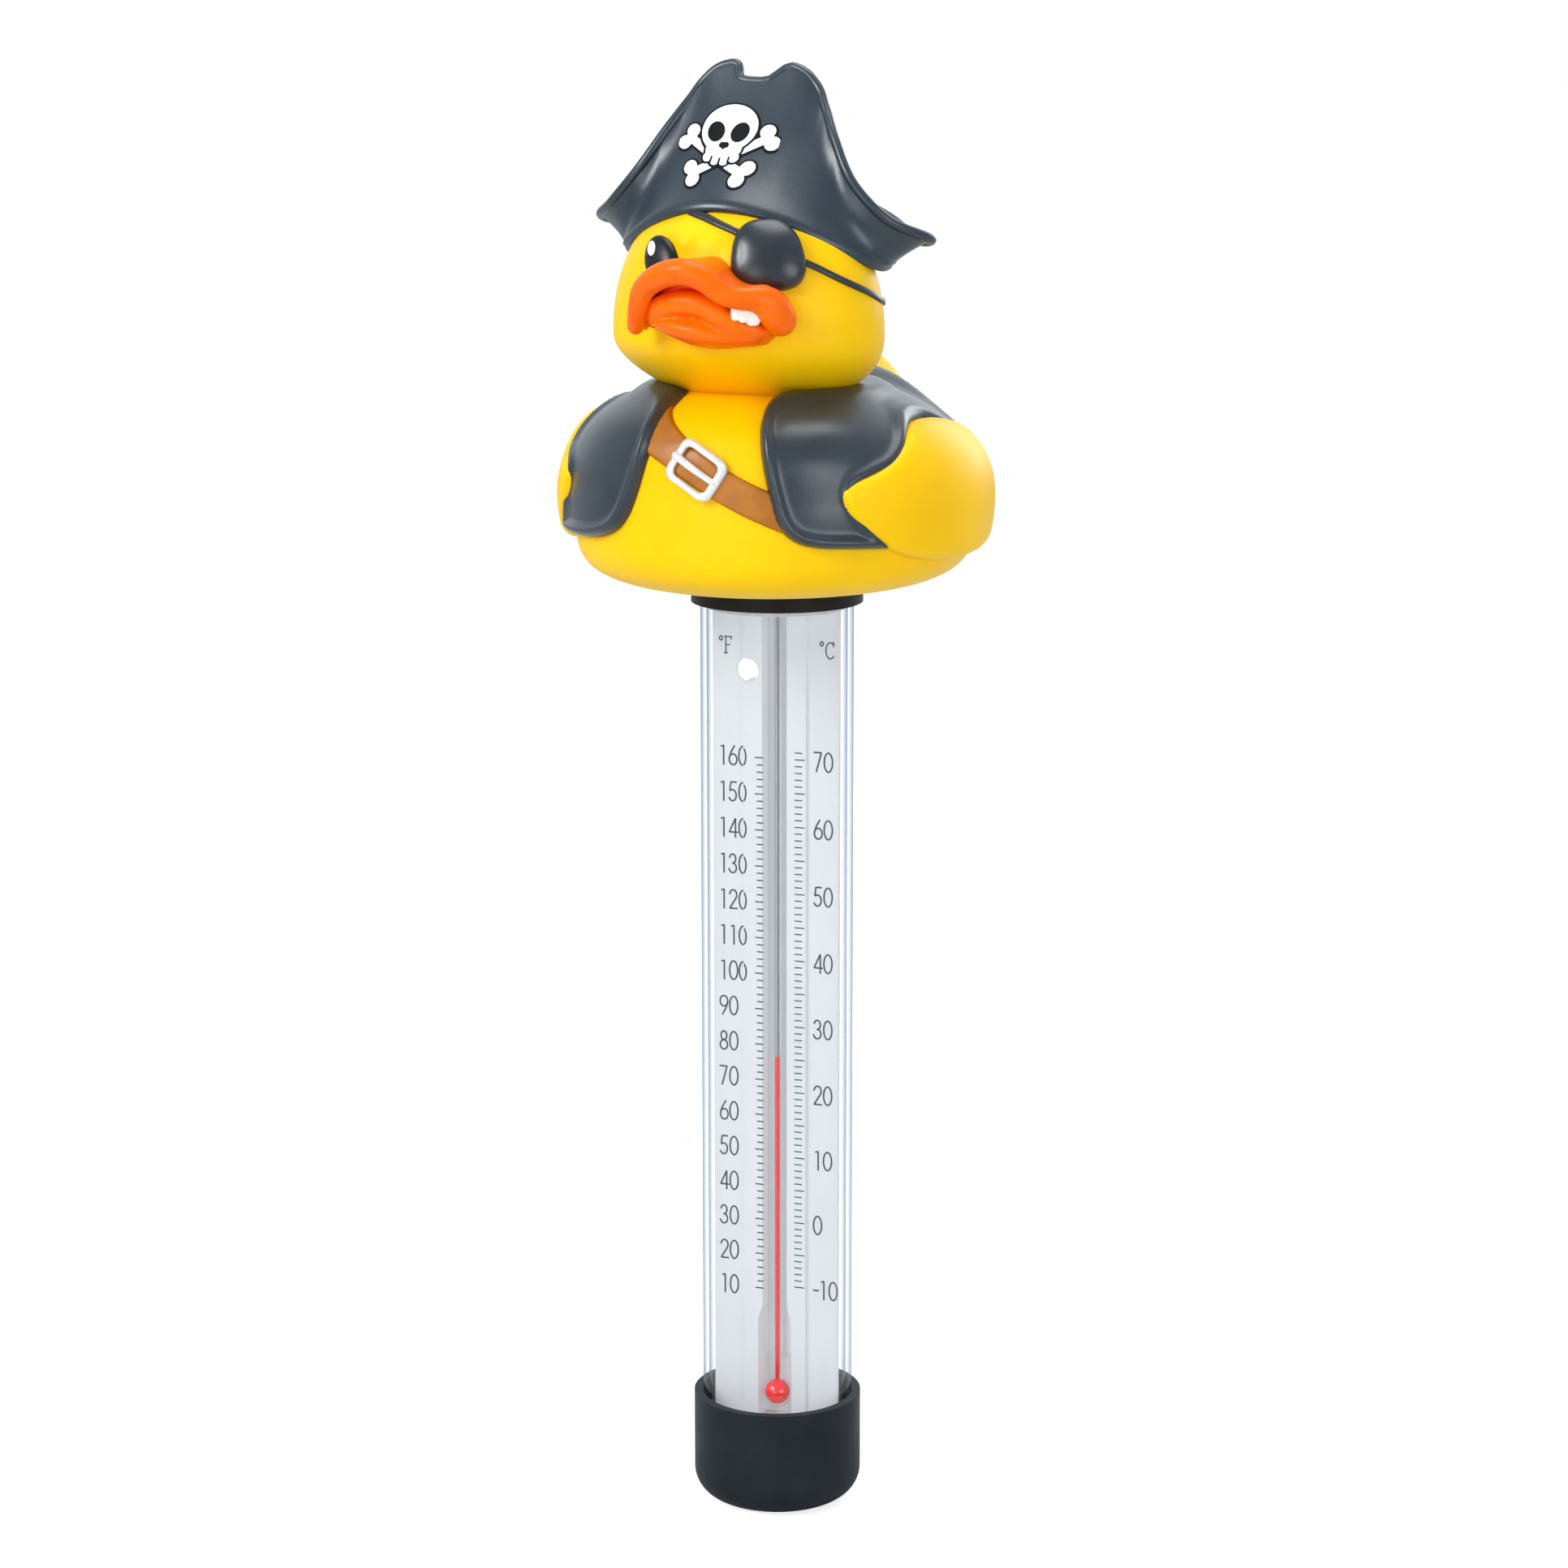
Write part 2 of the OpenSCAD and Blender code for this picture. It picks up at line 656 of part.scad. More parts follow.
// The hat: a brim turned up all round and notched in front, over a low crown
module hat() {
    n = 72;
    angles = [for (i = [0 : n - 1]) 180 - 360 * i / n];
    crown = [0, -2.5, 231];
    lining = [0, -7, 219.5];
    // The hat leans a little to the duck's left
    function leaned(p) = [p.x, p.y, p.z - 0.042 * p.x];
    function inward(p) = unit([-p.x, 4 - p.y, 0]);
    // A point of the brim's outside, a share v of the way from the fold to the upper edge
    function panel(a, v) =
        let (
            fold = hat_fold(a),
            rise = hat_edge(a) - fold,
            u = v - notch_depth(a) / rise.z * ease(v, 0.4, 1)
        )
            fold + rise * u - 0.055 * norm(rise) * sin(180 * u) * [sin(a), -cos(a), 0];
    function lip(a) = let (p = panel(a, 1)) p + inward(p) * brim_t;
    function wall(a, v) = lip(a) + v * 0.55 * (hat_fold(a) - panel(a, 1)) + v * 0.4 * inward(panel(a, 1));
    function base(a) =
        let (c = cos(a))
            [16.5 * sin(a), -3.5 - (c > 0 ? 7.5 : 10.5) * c, 214.4 + 11 * ease(c, 0.2, 0.95)];
    function dome(a, v) =
        let (b = base(a), p = b + (crown - b) * v)
            [p.x, p.y, b.z + (crown.z - b.z) * sin(90 * min(1, 1.25 * v))];
    color("#2a333b") loft([
        [for (a = angles) leaned(hat_fold(a) + 0.75 * (lining - hat_fold(a)))],
        [for (a = angles) leaned(hat_fold(a) + 0.4 * (lining - hat_fold(a)) + [0, 0, 1.3])],
        [for (a = angles) leaned(hat_fold(a) + 0.08 * (lining - hat_fold(a)))],
        for (v = [0, 0.15, 0.35, 0.6, 0.85, 1]) [for (a = angles) leaned(panel(a, v))],
        [for (a = angles) leaned(lip(a))],
        [for (a = angles) leaned(wall(a, 0.5))],
        [for (a = angles) leaned(wall(a, 1))],
        [for (a = angles) leaned(base(a))],
        for (v = [0.2, 0.45, 0.75, 0.95]) [for (a = angles) leaned(dome(a, v))]
    ]);
}

// A plain skull over crossed bones, lying on the hat's front
module hat_emblem() {
    lean = 38.3;
    color("#f2f3f2") translate([-2.6, -15.9, 226.4]) rotate([90 - lean, 0, 0]) {
        translate([0.2, 2.4, -0.5]) cylinder(r = 4.7, h = 1, $fn = 48);
        translate([0.1, -1.8, -0.5]) linear_extrude(1) square([5.4, 3.4], center = true);
        for (side = [-1, 1]) translate([0, -2.2, -0.5]) rotate([0, 0, 29.5 * side]) {
            linear_extrude(0.9) square([13.4, 1.5], center = true);
            for (x = [-6.4, 6.4], y = [-1.2, 1.2]) translate([x, y, 0]) cylinder(r = 1.25, h = 0.9, $fn = 24);
        }
    }
}

end_cap();
ballast_weight();
cap_gasket();
foot_pad();
clear_tube();
scale_card();
capillary_glass();
bulb_liquid();
liquid_column();
liquid_tip();
head_pad();
collar_gasket();
collar();
swivel_clip();
float_bush();
duck_body();
duck_head();
left_wing();
right_wing();
coat();
shoulder_belt();
buckle_frame();
buckle_prong();
upper_bill();
lower_bill();
teeth();
right_eye();
eye_patch();
patch_strap();
hat();
hat_emblem();
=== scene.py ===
"""Looks of the floating pool thermometer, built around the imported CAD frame. Shapes are worked
out in millimetres in the CAD frame (the duck faces -Y, +Z up) and turned into metres when a
mesh is made."""
import math

import bpy
import bmesh
import numpy as np
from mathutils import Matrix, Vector
from mathutils.bvhtree import BVHTree


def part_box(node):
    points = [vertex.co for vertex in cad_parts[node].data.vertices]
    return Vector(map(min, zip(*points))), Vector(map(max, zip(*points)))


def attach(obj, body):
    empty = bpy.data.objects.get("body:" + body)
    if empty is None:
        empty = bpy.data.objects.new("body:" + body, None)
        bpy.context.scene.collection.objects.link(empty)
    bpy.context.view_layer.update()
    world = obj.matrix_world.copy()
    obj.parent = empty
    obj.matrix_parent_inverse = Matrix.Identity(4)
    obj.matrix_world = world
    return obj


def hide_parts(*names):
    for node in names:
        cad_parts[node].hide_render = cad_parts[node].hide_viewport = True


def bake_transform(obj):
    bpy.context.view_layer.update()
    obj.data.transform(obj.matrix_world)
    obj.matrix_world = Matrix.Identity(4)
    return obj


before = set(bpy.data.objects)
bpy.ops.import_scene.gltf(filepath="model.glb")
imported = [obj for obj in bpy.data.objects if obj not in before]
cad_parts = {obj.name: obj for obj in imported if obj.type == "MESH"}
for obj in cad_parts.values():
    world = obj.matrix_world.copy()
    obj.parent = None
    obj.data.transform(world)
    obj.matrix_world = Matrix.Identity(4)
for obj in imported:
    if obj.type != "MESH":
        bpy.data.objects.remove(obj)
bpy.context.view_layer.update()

MM = 0.001


# ---------- numbers shared with the CAD ----------

def node_box(name):
    """A CAD node's lowest and highest corner in millimetres."""
    low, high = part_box(name)
    return np.array(low) / MM, np.array(high) / MM


glass_low, glass_high = node_box("capillary_glass")
column_low, column_high = node_box("liquid_column")

# Half width, reach, widest height and how far the rounding runs down and up from it
BODY_A = node_box("duck_body")[1][0]
BODY_FRONT, BODY_BACK = 33.0, 36.0
BODY_Z, BODY_BOTTOM, BODY_RISE = 168.5, 12.6, 20.5
BODY_FOOT, OPENING_Z = 156.15, 155.9
HEAD_A, HEAD_B = 22.0, 17.0
HEAD_Z, HEAD_BOTTOM, HEAD_RISE = 197.0, 13.0, 24.0
SHELL = 1.4
OPENING_R = 14.6
HAT_A = node_box("hat")[1][0]
BAND_FRONT, CARD_FRONT = -1.4, -0.8
BAND_W = 5.4
STEM_TURN = 3.0


def cos_sin(t):
    """The cosine and the sine of angles in degrees."""
    return np.cos(np.radians(t)), np.sin(np.radians(t))


def even_turn(n):
    """The angles of n even steps round a circle, in radians."""
    return np.linspace(0, 2 * math.pi, n, endpoint=False)


def circle_at(radius, z, n):
    """A level ring of n points about the Z axis."""
    a = even_turn(n)
    return np.stack([radius * np.cos(a), radius * np.sin(a), np.full(n, z)], -1)


def rotation(tilt, turn):
    """The matrix of a tilt about X and then a turn about Z, in degrees."""
    x, z = math.radians(tilt), math.radians(turn)
    rx = np.array([[1, 0, 0], [0, math.cos(x), -math.sin(x)], [0, math.sin(x), math.cos(x)]])
    rz = np.array([[math.cos(z), -math.sin(z), 0], [math.sin(z), math.cos(z), 0], [0, 0, 1]])
    return rz @ rx


def ease(v, a, b):
    """A smooth step from 0 to 1 as v goes from a to b."""
    k = np.clip((np.asarray(v, float) - a) / (b - a), 0, 1)
    return k * k * (3 - 2 * k)


def bulge(s, p):
    """The share of the full width that a rounded section has at height share s."""
    return np.maximum(0, 1 - np.abs(s) ** p) ** (1 / p)


def body_point(t, z, g=0.0):
    """A point of the duck's body at angle t (-90 is the front) and height z, moved out by g."""
    t, z = np.asarray(t, float), np.asarray(z, float)
    low = z < BODY_Z
    s = np.where(low, (BODY_Z - z) / BODY_BOTTOM, (z - BODY_Z) / BODY_RISE)
    share = np.where(low, bulge(s, 4), bulge(s, 2.5))
    c, n = cos_sin(t)
    b = np.where(n < 0, BODY_FRONT, BODY_BACK)
    around = (t + 90) % 360 - 90
    w = np.exp(-((around - 90) / 26) ** 2) * ease(z, 160, 181) * (1 - ease(z, 181.5, 187))
    shift = -1 - 4.5 * ease(z, 172, 187)
    y = shift + (b * share + g) * n + 13.5 * w
    return np.stack([(BODY_A * share + g) * c, y, z + 8.2 * w], -1)


def brow(t, z):
    """Soft bumps of the brow above the eye and beside the bill's root, in millimetres."""
    spots = ((-112, 214.0, 9, 2.2, 0.7), (-92, 212.0, 6, 1.8, 0.55), (-80, 209.5, 4, 1.6, 0.45),
             (-103.5, 212.2, 5.5, 1.9, 1.4))
    around = (t + 270) % 360 - 270
    return sum(h * np.exp(-((around - a) / w) ** 2 - ((z - c) / v) ** 2) for a, c, w, v, h in spots)


def head_point(t, z, g=0.0):
    """A point of the duck's head at angle t and height z, moved out by g."""
    t, z = np.asarray(t, float), np.asarray(z, float)
    low = z < HEAD_Z
    s = np.where(low, (HEAD_Z - z) / HEAD_BOTTOM, (z - HEAD_Z) / HEAD_RISE)
    share = np.where(low, np.maximum(0, 1 - s * s) ** 0.65, bulge(s, 2.2))
    c, n = cos_sin(t)
    out = g + brow(t, z)
    y = -12 + 5 * (1 - ease(z, 186, 197)) + (HEAD_B * share + out) * n
    return np.stack([(HEAD_A * share + out) * c, y, z + 0 * t], -1)


# ---------- mesh helpers ----------

def smooth_path(points, count, closed=False):
    """A Catmull-Rom curve through the points, sampled at count places."""
    p = np.asarray(points, float)
    if closed:
        p = np.vstack([p[-1:], p, p[:2]])
    else:
        p = np.vstack([2 * p[0] - p[1], p, 2 * p[-1] - p[-2]])
    spans = len(p) - 3
    u = np.linspace(0, spans, count, endpoint=not closed)
    k = np.minimum(u.astype(int), spans - 1)
    f = (u - k)[:, None]
    a, b, c, d = p[k], p[k + 1], p[k + 2], p[k + 3]
    return 0.5 * (2 * b + (c - a) * f + (2 * a - 5 * b + 4 * c - d) * f ** 2
                  + (3 * b - a - 3 * c + d) * f ** 3)


def curve_at(x, table):
    """A smooth curve through a table of (x, value) pairs, read at x."""
    table = np.asarray(table, float)
    dense = smooth_path(table, 40 * len(table))
    return np.interp(x, dense[:, 0], dense[:, 1])


def linked(name, data):
    """A new object of some data, put in the scene."""
    piece = bpy.data.objects.new(name, data)
    bpy.context.scene.collection.objects.link(piece)
    return piece


def make(name, shape, finish, replaces=(), body="duck", smooth=True):
    """A mesh object from millimetre points and faces, riding on a body if one is given."""
    verts, faces = shape
    mesh = bpy.data.meshes.new(name)
    mesh.from_pydata((np.asarray(verts, float) * MM).tolist(), [], [list(map(int, f)) for f in faces])
    mesh.validate()
    mesh.update()
    if smooth:
        mesh.shade_smooth()
    piece = linked(name, mesh)
    mesh.materials.append(finish)
    if body:
        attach(piece, body)
    if replaces:
        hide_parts(*replaces)
    return piece


def ring_faces(rows, cols, closed=False):
    """Quads between rings of points, numbered ring by ring; closed joins the last to the first."""
    return [(r * cols + c, r * cols + (c + 1) % cols,
             (r + 1) % rows * cols + (c + 1) % cols, (r + 1) % rows * cols + c)
            for r in range(rows if closed else rows - 1) for c in range(cols)]


def flipped(shape):
    """The same shape with its faces turned the other way."""
    return shape[0], [tuple(reversed(f)) for f in shape[1]]


def loft(rings):
    """Points and faces of a closed solid through rings of equal length, capped with fans."""
    rings = [np.asarray(r, float) for r in rings]
    n = len(rings[0])
    verts = np.vstack(rings + [rings[0].mean(0)[None], rings[-1].mean(0)[None]])
    faces = ring_faces(len(rings), n)
    first, last = len(rings) * n, len(rings) * n + 1
    top = (len(rings) - 1) * n
    faces += [(first, (i + 1) % n, i) for i in range(n)]
    faces += [(last, top + i, top + (i + 1) % n) for i in range(n)]
    return verts, faces


def tube(path, radius, sides):
    """Points and faces of a round-ended tube along a path; radius may be a list."""
    path = np.asarray(path, float)
    r = np.broadcast_to(np.asarray(radius, float), (len(path),))
    tangent = np.gradient(path, axis=0)
    tangent /= np.linalg.norm(tangent, axis=1)[:, None]
    side = np.cross(tangent, [0, 0, 1.0])
    weak = np.linalg.norm(side, axis=1) < 1e-3
    side[weak] = [1.0, 0, 0]
    side /= np.linalg.norm(side, axis=1)[:, None]
    up = np.cross(side, tangent)
    a = even_turn(sides)[:, None, None]
    ring = np.cos(a) * side + np.sin(a) * up
    rings = [path[k] + r[k] * ring[:, k] for k in range(len(path))]
    ends = (8, 30, 52, 74, 86)
    start = [path[0] + r[0] * (c * ring[:, 0] - s * tangent[0])
             for c, s in map(cos_sin, reversed(ends))]
    stop = [path[-1] + r[-1] * (c * ring[:, -1] + s * tangent[-1]) for c, s in map(cos_sin, ends)]
    return loft(start + rings + stop)


def egg(half, n, rows, power=1.0):
    """An egg of given half sizes about the origin; a power below 1 makes it boxier."""
    def shaped(v):
        return np.sign(v) * np.abs(v) ** power

    u, a = np.radians(np.linspace(-88, 88, rows)), even_turn(n)
    return loft([np.stack([half[0] * shaped(np.cos(k)) * shaped(np.cos(a)),
                           half[1] * shaped(np.cos(k)) * shaped(np.sin(a)),
                           half[2] * shaped(np.sin(k)) + 0 * a], -1) for k in u])


def joined(parts):
    """Several (points, faces) pairs as one."""
    verts, faces, base = [], [], 0
    for v, f in parts:
        verts.append(np.asarray(v, float))
        faces += [tuple(int(i) + base for i in face) for face in f]
        base += len(v)
    return np.vstack(verts), faces


def fused(parts, voxel, rounds):
    """The union of overlapping closed parts, remeshed evenly and smoothed."""
    verts, faces = joined(parts)
    mesh = bpy.data.meshes.new("fuse")
    mesh.from_pydata((verts * MM).tolist(), [], faces)
    bm = bmesh.new()
    bm.from_mesh(mesh)
    bmesh.ops.recalc_face_normals(bm, faces=bm.faces)
    bm.to_mesh(mesh)
    bm.free()
    work = linked("fuse", mesh)
    remesh = work.modifiers.new("remesh", "REMESH")
    remesh.mode = "VOXEL"
    remesh.voxel_size = voxel * MM
    soften = work.modifiers.new("soften", "SMOOTH")
    soften.factor = 0.5
    soften.iterations = rounds
    bpy.context.view_layer.update()
    result = work.evaluated_get(bpy.context.evaluated_depsgraph_get()).to_mesh()
    out = np.zeros(len(result.vertices) * 3)
    result.vertices.foreach_get("co", out)
    out_faces = [tuple(p.vertices) for p in result.polygons]
    bpy.data.objects.remove(work)
    bpy.data.meshes.remove(mesh)
    return out.reshape(-1, 3) / MM, out_faces


def segment_distance(points, p, q):
    """Distance from points to the straight line from p to q."""
    d = q - p
    k = np.clip(((points - p) @ d) / max(d @ d, 1e-12), 0, 1)
    return np.linalg.norm(points - p - k[:, None] * d, axis=1)


def polygon_distance(points, outline):
    """Signed distance from points to a closed outline, negative inside."""
    a = np.asarray(outline, float)
    b = np.roll(a, -1, axis=0)
    best = np.full(len(points), 1e9)
    inside = np.zeros(len(points), bool)
    for p, q in zip(a, b):
        best = np.minimum(best, segment_distance(points, p, q))
        crosses = (p[1] > points[:, 1]) != (q[1] > points[:, 1])
        if p[1] != q[1]:
            x = p[0] + (points[:, 1] - p[1]) * (q[0] - p[0]) / (q[1] - p[1])
            inside ^= crosses & (points[:, 0] < x)
    return np.where(inside, -best, best)


def path_distance(points, path, half):
    """Signed distance from points to a band of a half width along an open path."""
    path = np.asarray(path, float)
    return np.min([segment_distance(points, p, q) for p, q in zip(path[:-1], path[1:])], 0) - half


def patch(distance, low, high, step):
    """The part of a flat grid where distance(points) is below 0, as points, distances and
    triangles, its border cut exactly at 0."""
    nx = max(2, int(round((high[0] - low[0]) / step)))
    ny = max(2, int(round((high[1] - low[1]) / step)))
    x, y = np.meshgrid(np.linspace(low[0], high[0], nx + 1), np.linspace(low[1], high[1], ny + 1))
    points = np.stack([x.ravel(), y.ravel()], -1)
    d = distance(points)
    d = np.where(np.abs(d) < 0.02 * step, -0.02 * step, d)
    keep_points, keep_d, cut, faces = list(points), list(d), {}, []

    def crossing(i, j):
        key = (min(i, j), max(i, j))
        if key not in cut:
            f = d[i] / (d[i] - d[j])
            keep_points.append(points[i] + f * (points[j] - points[i]))
            keep_d.append(0.0)
            cut[key] = len(keep_points) - 1
        return cut[key]

    for r in range(ny):
        for c in range(nx):
            i = r * (nx + 1) + c
            corner = (i, i + 1, i + nx + 2, i + nx + 1)
            inside = [d[k] < 0 for k in corner]
            if all(inside):
                faces.append(corner)
            elif any(inside):
                for tri in ((corner[0], corner[1], corner[2]), (corner[0], corner[2], corner[3])):
                    face = []
                    for k in range(3):
                        p, q = tri[k], tri[(k + 1) % 3]
                        if d[p] < 0:
                            face.append(p)
                        if (d[p] < 0) != (d[q] < 0):
                            face.append(crossing(p, q))
                    if len(face) > 2:
                        faces.append(tuple(face))
    used = sorted({i for f in faces for i in f})
    number = {old: new for new, old in enumerate(used)}
    return (np.array([keep_points[i] for i in used]), np.array([keep_d[i] for i in used]),
            [tuple(number[i] for i in f) for f in faces])


def slab(top, bottom, faces):
    """A closed solid between two layers of points that share faces."""
    n = len(top)
    edges = {}
    for f in faces:
        for k in range(len(f)):
            edge = (f[k], f[(k + 1) % len(f)])
            edges[edge] = edges.get(edge, 0) + 1
    rim = [(a, b) for a, b in edges if (b, a) not in edges]
    solid = list(faces) + [tuple(n + i for i in reversed(f)) for f in faces]
    solid += [(b, a, n + a, n + b) for a, b in rim]
    return np.vstack([top, bottom]), solid


def normals_of(surface, p):
    """Outward unit normals of a surface(t, z) at parameter points p."""
    h = 0.05
    a = surface(p[:, 0] + h, p[:, 1]) - surface(p[:, 0] - h, p[:, 1])
    b = surface(p[:, 0], p[:, 1] + h) - surface(p[:, 0], p[:, 1] - h)
    n = np.cross(a, b)
    return n / np.maximum(np.linalg.norm(n, axis=1), 1e-9)[:, None]


BODY_DEG, HEAD_DEG = 0.56, 0.4  # millimetres of skin that one degree of turn covers


def skin(surface, distance, low, high, step, height, deg=BODY_DEG, sink=0.4):
    """A raised solid on a surface(t, z): distance is in (t * deg, z), height is a function of
    the depth inside the border."""
    p, d, faces = patch(distance, (low[0] * deg, low[1]), (high[0] * deg, high[1]), step)
    p = np.stack([p[:, 0] / deg, p[:, 1]], -1)
    base, out = surface(p[:, 0], p[:, 1]), normals_of(surface, p)
    return slab(base + out * height(np.maximum(0, -d))[:, None], base - out * sink, faces)


def rounded(depth, height, width):
    """Height of a slab whose border is a quarter round of a given width."""
    return height * np.sqrt(1 - (1 - np.clip(depth / width, 0, 1)) ** 2)


def scaled(outline, deg=BODY_DEG):
    """An outline in (degrees, millimetres) in the flat units of skin()."""
    return np.asarray(outline, float) * [deg, 1.0]


# ---------- materials ----------

def feed(tree, node, inputs):
    """Set a node's inputs, each to a value or to the output of another node."""
    for key, value in inputs.items():
        if isinstance(value, bpy.types.NodeSocket):
            tree.links.new(value, node.inputs[key])
        else:
            node.inputs[key].default_value = value


def add(tree, kind, inputs=None, output=0, operation=None):
    """One output of a new shader node whose inputs are set by feed()."""
    node = tree.nodes.new("ShaderNode" + kind)
    if operation:
        node.operation = operation
    feed(tree, node, inputs or {})
    return node.outputs[output]


def blended(tree, share, *stops):
    """A blend between two (position, colour) stops, read at a share."""
    node = tree.nodes.new("ShaderNodeValToRGB")
    for element, (position, colour) in zip(node.color_ramp.elements, stops):
        element.position, element.color = position, (*colour, 1)
    feed(tree, node, {"Fac": share})
    return node.outputs["Color"]


def material(name, colour, second, rough, scale, bump=0.0, bump_scale=1500.0, fine=0.0,
             fine_scale=6000.0, **sockets):
    """A moulded or painted surface: two near colours mixed by a soft noise, a roughness that
    drifts, and bumps of two sizes."""
    made = bpy.data.materials.new(name)
    made.use_nodes = True
    tree = made.node_tree
    place = add(tree, "TexCoord", output="Object")
    drift = add(tree, "TexNoise", {"Scale": scale, "Detail": 4, "Vector": place})
    worn = {"From Min": 0.3, "From Max": 0.7, "To Min": rough[0], "To Max": rough[1], "Value": drift}
    inputs = {"Base Color": blended(tree, drift, (0.3, colour), (0.7, second)),
              "Roughness": add(tree, "MapRange", worn)}
    for size, depth in ((bump_scale, bump), (fine_scale, fine)):
        if depth:
            grain = add(tree, "TexNoise", {"Scale": size, "Detail": 3, "Vector": place})
            relief = {"Strength": 1.0, "Distance": depth * MM, "Height": grain}
            if "Normal" in inputs:
                relief["Normal"] = inputs["Normal"]
            inputs["Normal"] = add(tree, "Bump", relief)
    inputs.update({socket.replace("_", " "): value for socket, value in sockets.items()})
    feed(tree, tree.nodes["Principled BSDF"], inputs)
    return made


def clear_material(name, tint, edge_shade, gloss_rough, gloss_high):
    """Clear thin walled plastic or glass: what is behind shows through, darker where the wall is seen
    edge on, a painted shade for the dark lines along the walls, with a sharp gloss. It throws no
    shadow."""
    made = bpy.data.materials.new(name)
    made.use_nodes = True
    tree = made.node_tree
    tree.nodes.remove(tree.nodes["Principled BSDF"])
    facing = add(tree, "LayerWeight", {"Blend": 0.5}, "Facing")
    tint_and_edge_shade = blended(tree, facing, (0.62, tint), (0.98, edge_shade))
    haze = add(tree, "TexNoise", {"Scale": 120, "Vector": add(tree, "TexCoord", output="Object")})
    worn = add(tree, "MapRange", {"To Min": gloss_rough * 0.6, "To Max": gloss_rough * 1.6,
                                  "Value": haze})
    grazing = add(tree, "Math", {0: facing, 1: 4.0}, operation="POWER")
    share = add(tree, "MapRange", {"To Min": 0.025, "To Max": gloss_high, "Value": grazing})
    seen = add(tree, "MixShader", {"Fac": share, 1: add(tree, "BsdfTransparent", {"Color": tint_and_edge_shade}),
                                   2: add(tree, "BsdfGlossy", {"Roughness": worn})})
    shadow = add(tree, "LightPath", output="Is Shadow Ray")
    lit = add(tree, "MixShader", {"Fac": shadow, 1: seen, 2: add(tree, "BsdfTransparent")})
    feed(tree, tree.nodes["Material Output"], {"Surface": lit})
    return made


yellow = material("vinyl_yellow", (0.95, 0.535, 0.0), (1.0, 0.58, 0.0), rough=(0.36, 0.44),
                  scale=60, bump=0.03, bump_scale=500, fine=0.004, fine_scale=5000,
                  Specular_IOR_Level=0.14, Subsurface_Weight=0.1, Subsurface_Scale=0.003)
slate = material("vinyl_slate", (0.012, 0.021, 0.031), (0.019, 0.03, 0.041), rough=(0.3, 0.4),
                 scale=150, bump=0.02, bump_scale=900, fine=0.012, fine_scale=4200,
                 Coat_Weight=0.35, Coat_Roughness=0.3)
hat_slate = material("hat_slate", (0.01, 0.021, 0.033), (0.016, 0.03, 0.044), rough=(0.3, 0.38),
                     scale=150, bump=0.02, bump_scale=900, fine=0.012, fine_scale=4200,
                     Coat_Weight=0.35, Coat_Roughness=0.28)
patch_black = material("patch_black", (0.007, 0.012, 0.019), (0.012, 0.019, 0.027),
                       rough=(0.28, 0.36), scale=300, bump=0.015, bump_scale=1200, fine=0.01,
                       fine_scale=4200, Coat_Weight=0.3, Coat_Roughness=0.25)
orange = material("bill_orange", (0.94, 0.12, 0.0), (1.0, 0.165, 0.0), rough=(0.2, 0.3), scale=180,
                  bump=0.02, bump_scale=700, fine=0.003, fine_scale=5000, Specular_IOR_Level=0.14,
                  Coat_Weight=0.06, Coat_Roughness=0.12, Subsurface_Weight=0.12,
                  Subsurface_Scale=0.003)
# The mouth's deeper red is painted shade inside the mouth.
mouth_red = material("mouth_red", (0.8, 0.02, 0.0), (0.95, 0.05, 0.0), rough=(0.35, 0.45),
                     scale=300, bump=0.02, bump_scale=900, Subsurface_Weight=0.1,
                     Subsurface_Scale=0.003)
brown = material("belt_brown", (0.36, 0.11, 0.0), (0.47, 0.16, 0.002), rough=(0.35, 0.5), scale=260,
                 bump=0.02, bump_scale=1500, fine=0.008, fine_scale=5000)
silver = material("buckle_silver", (0.8, 0.8, 0.81), (0.9, 0.9, 0.91), rough=(0.2, 0.32), scale=400,
                  bump=0.01, bump_scale=1500, Metallic=0.4)
ivory = material("tooth_ivory", (0.85, 0.8, 0.68), (0.93, 0.9, 0.82), rough=(0.2, 0.3), scale=900,
                 bump=0.01, bump_scale=1500)
eye_black = material("eye_black", (0.004, 0.004, 0.005), (0.008, 0.008, 0.01), rough=(0.3, 0.38),
                     scale=400, bump=0.004, bump_scale=900, Specular_IOR_Level=0.35)
# White paint for the emblem; the same white is the eye's painted highlight.
white_paint_and_highlight = material("white_paint_and_highlight", (0.82, 0.83, 0.84), (0.9, 0.9, 0.9), rough=(0.35, 0.5),
                       scale=500, bump=0.006, bump_scale=3000)
black_ink = material("black_ink", (0.004, 0.004, 0.005), (0.007, 0.008, 0.009), rough=(0.5, 0.6),
                     scale=500, bump=0.004, bump_scale=3000, Specular_IOR_Level=0.12)
scale_ink = material("scale_ink", (0.02, 0.042, 0.058), (0.032, 0.058, 0.076), rough=(0.5, 0.6),
                     scale=900, bump=0.002, bump_scale=4000)
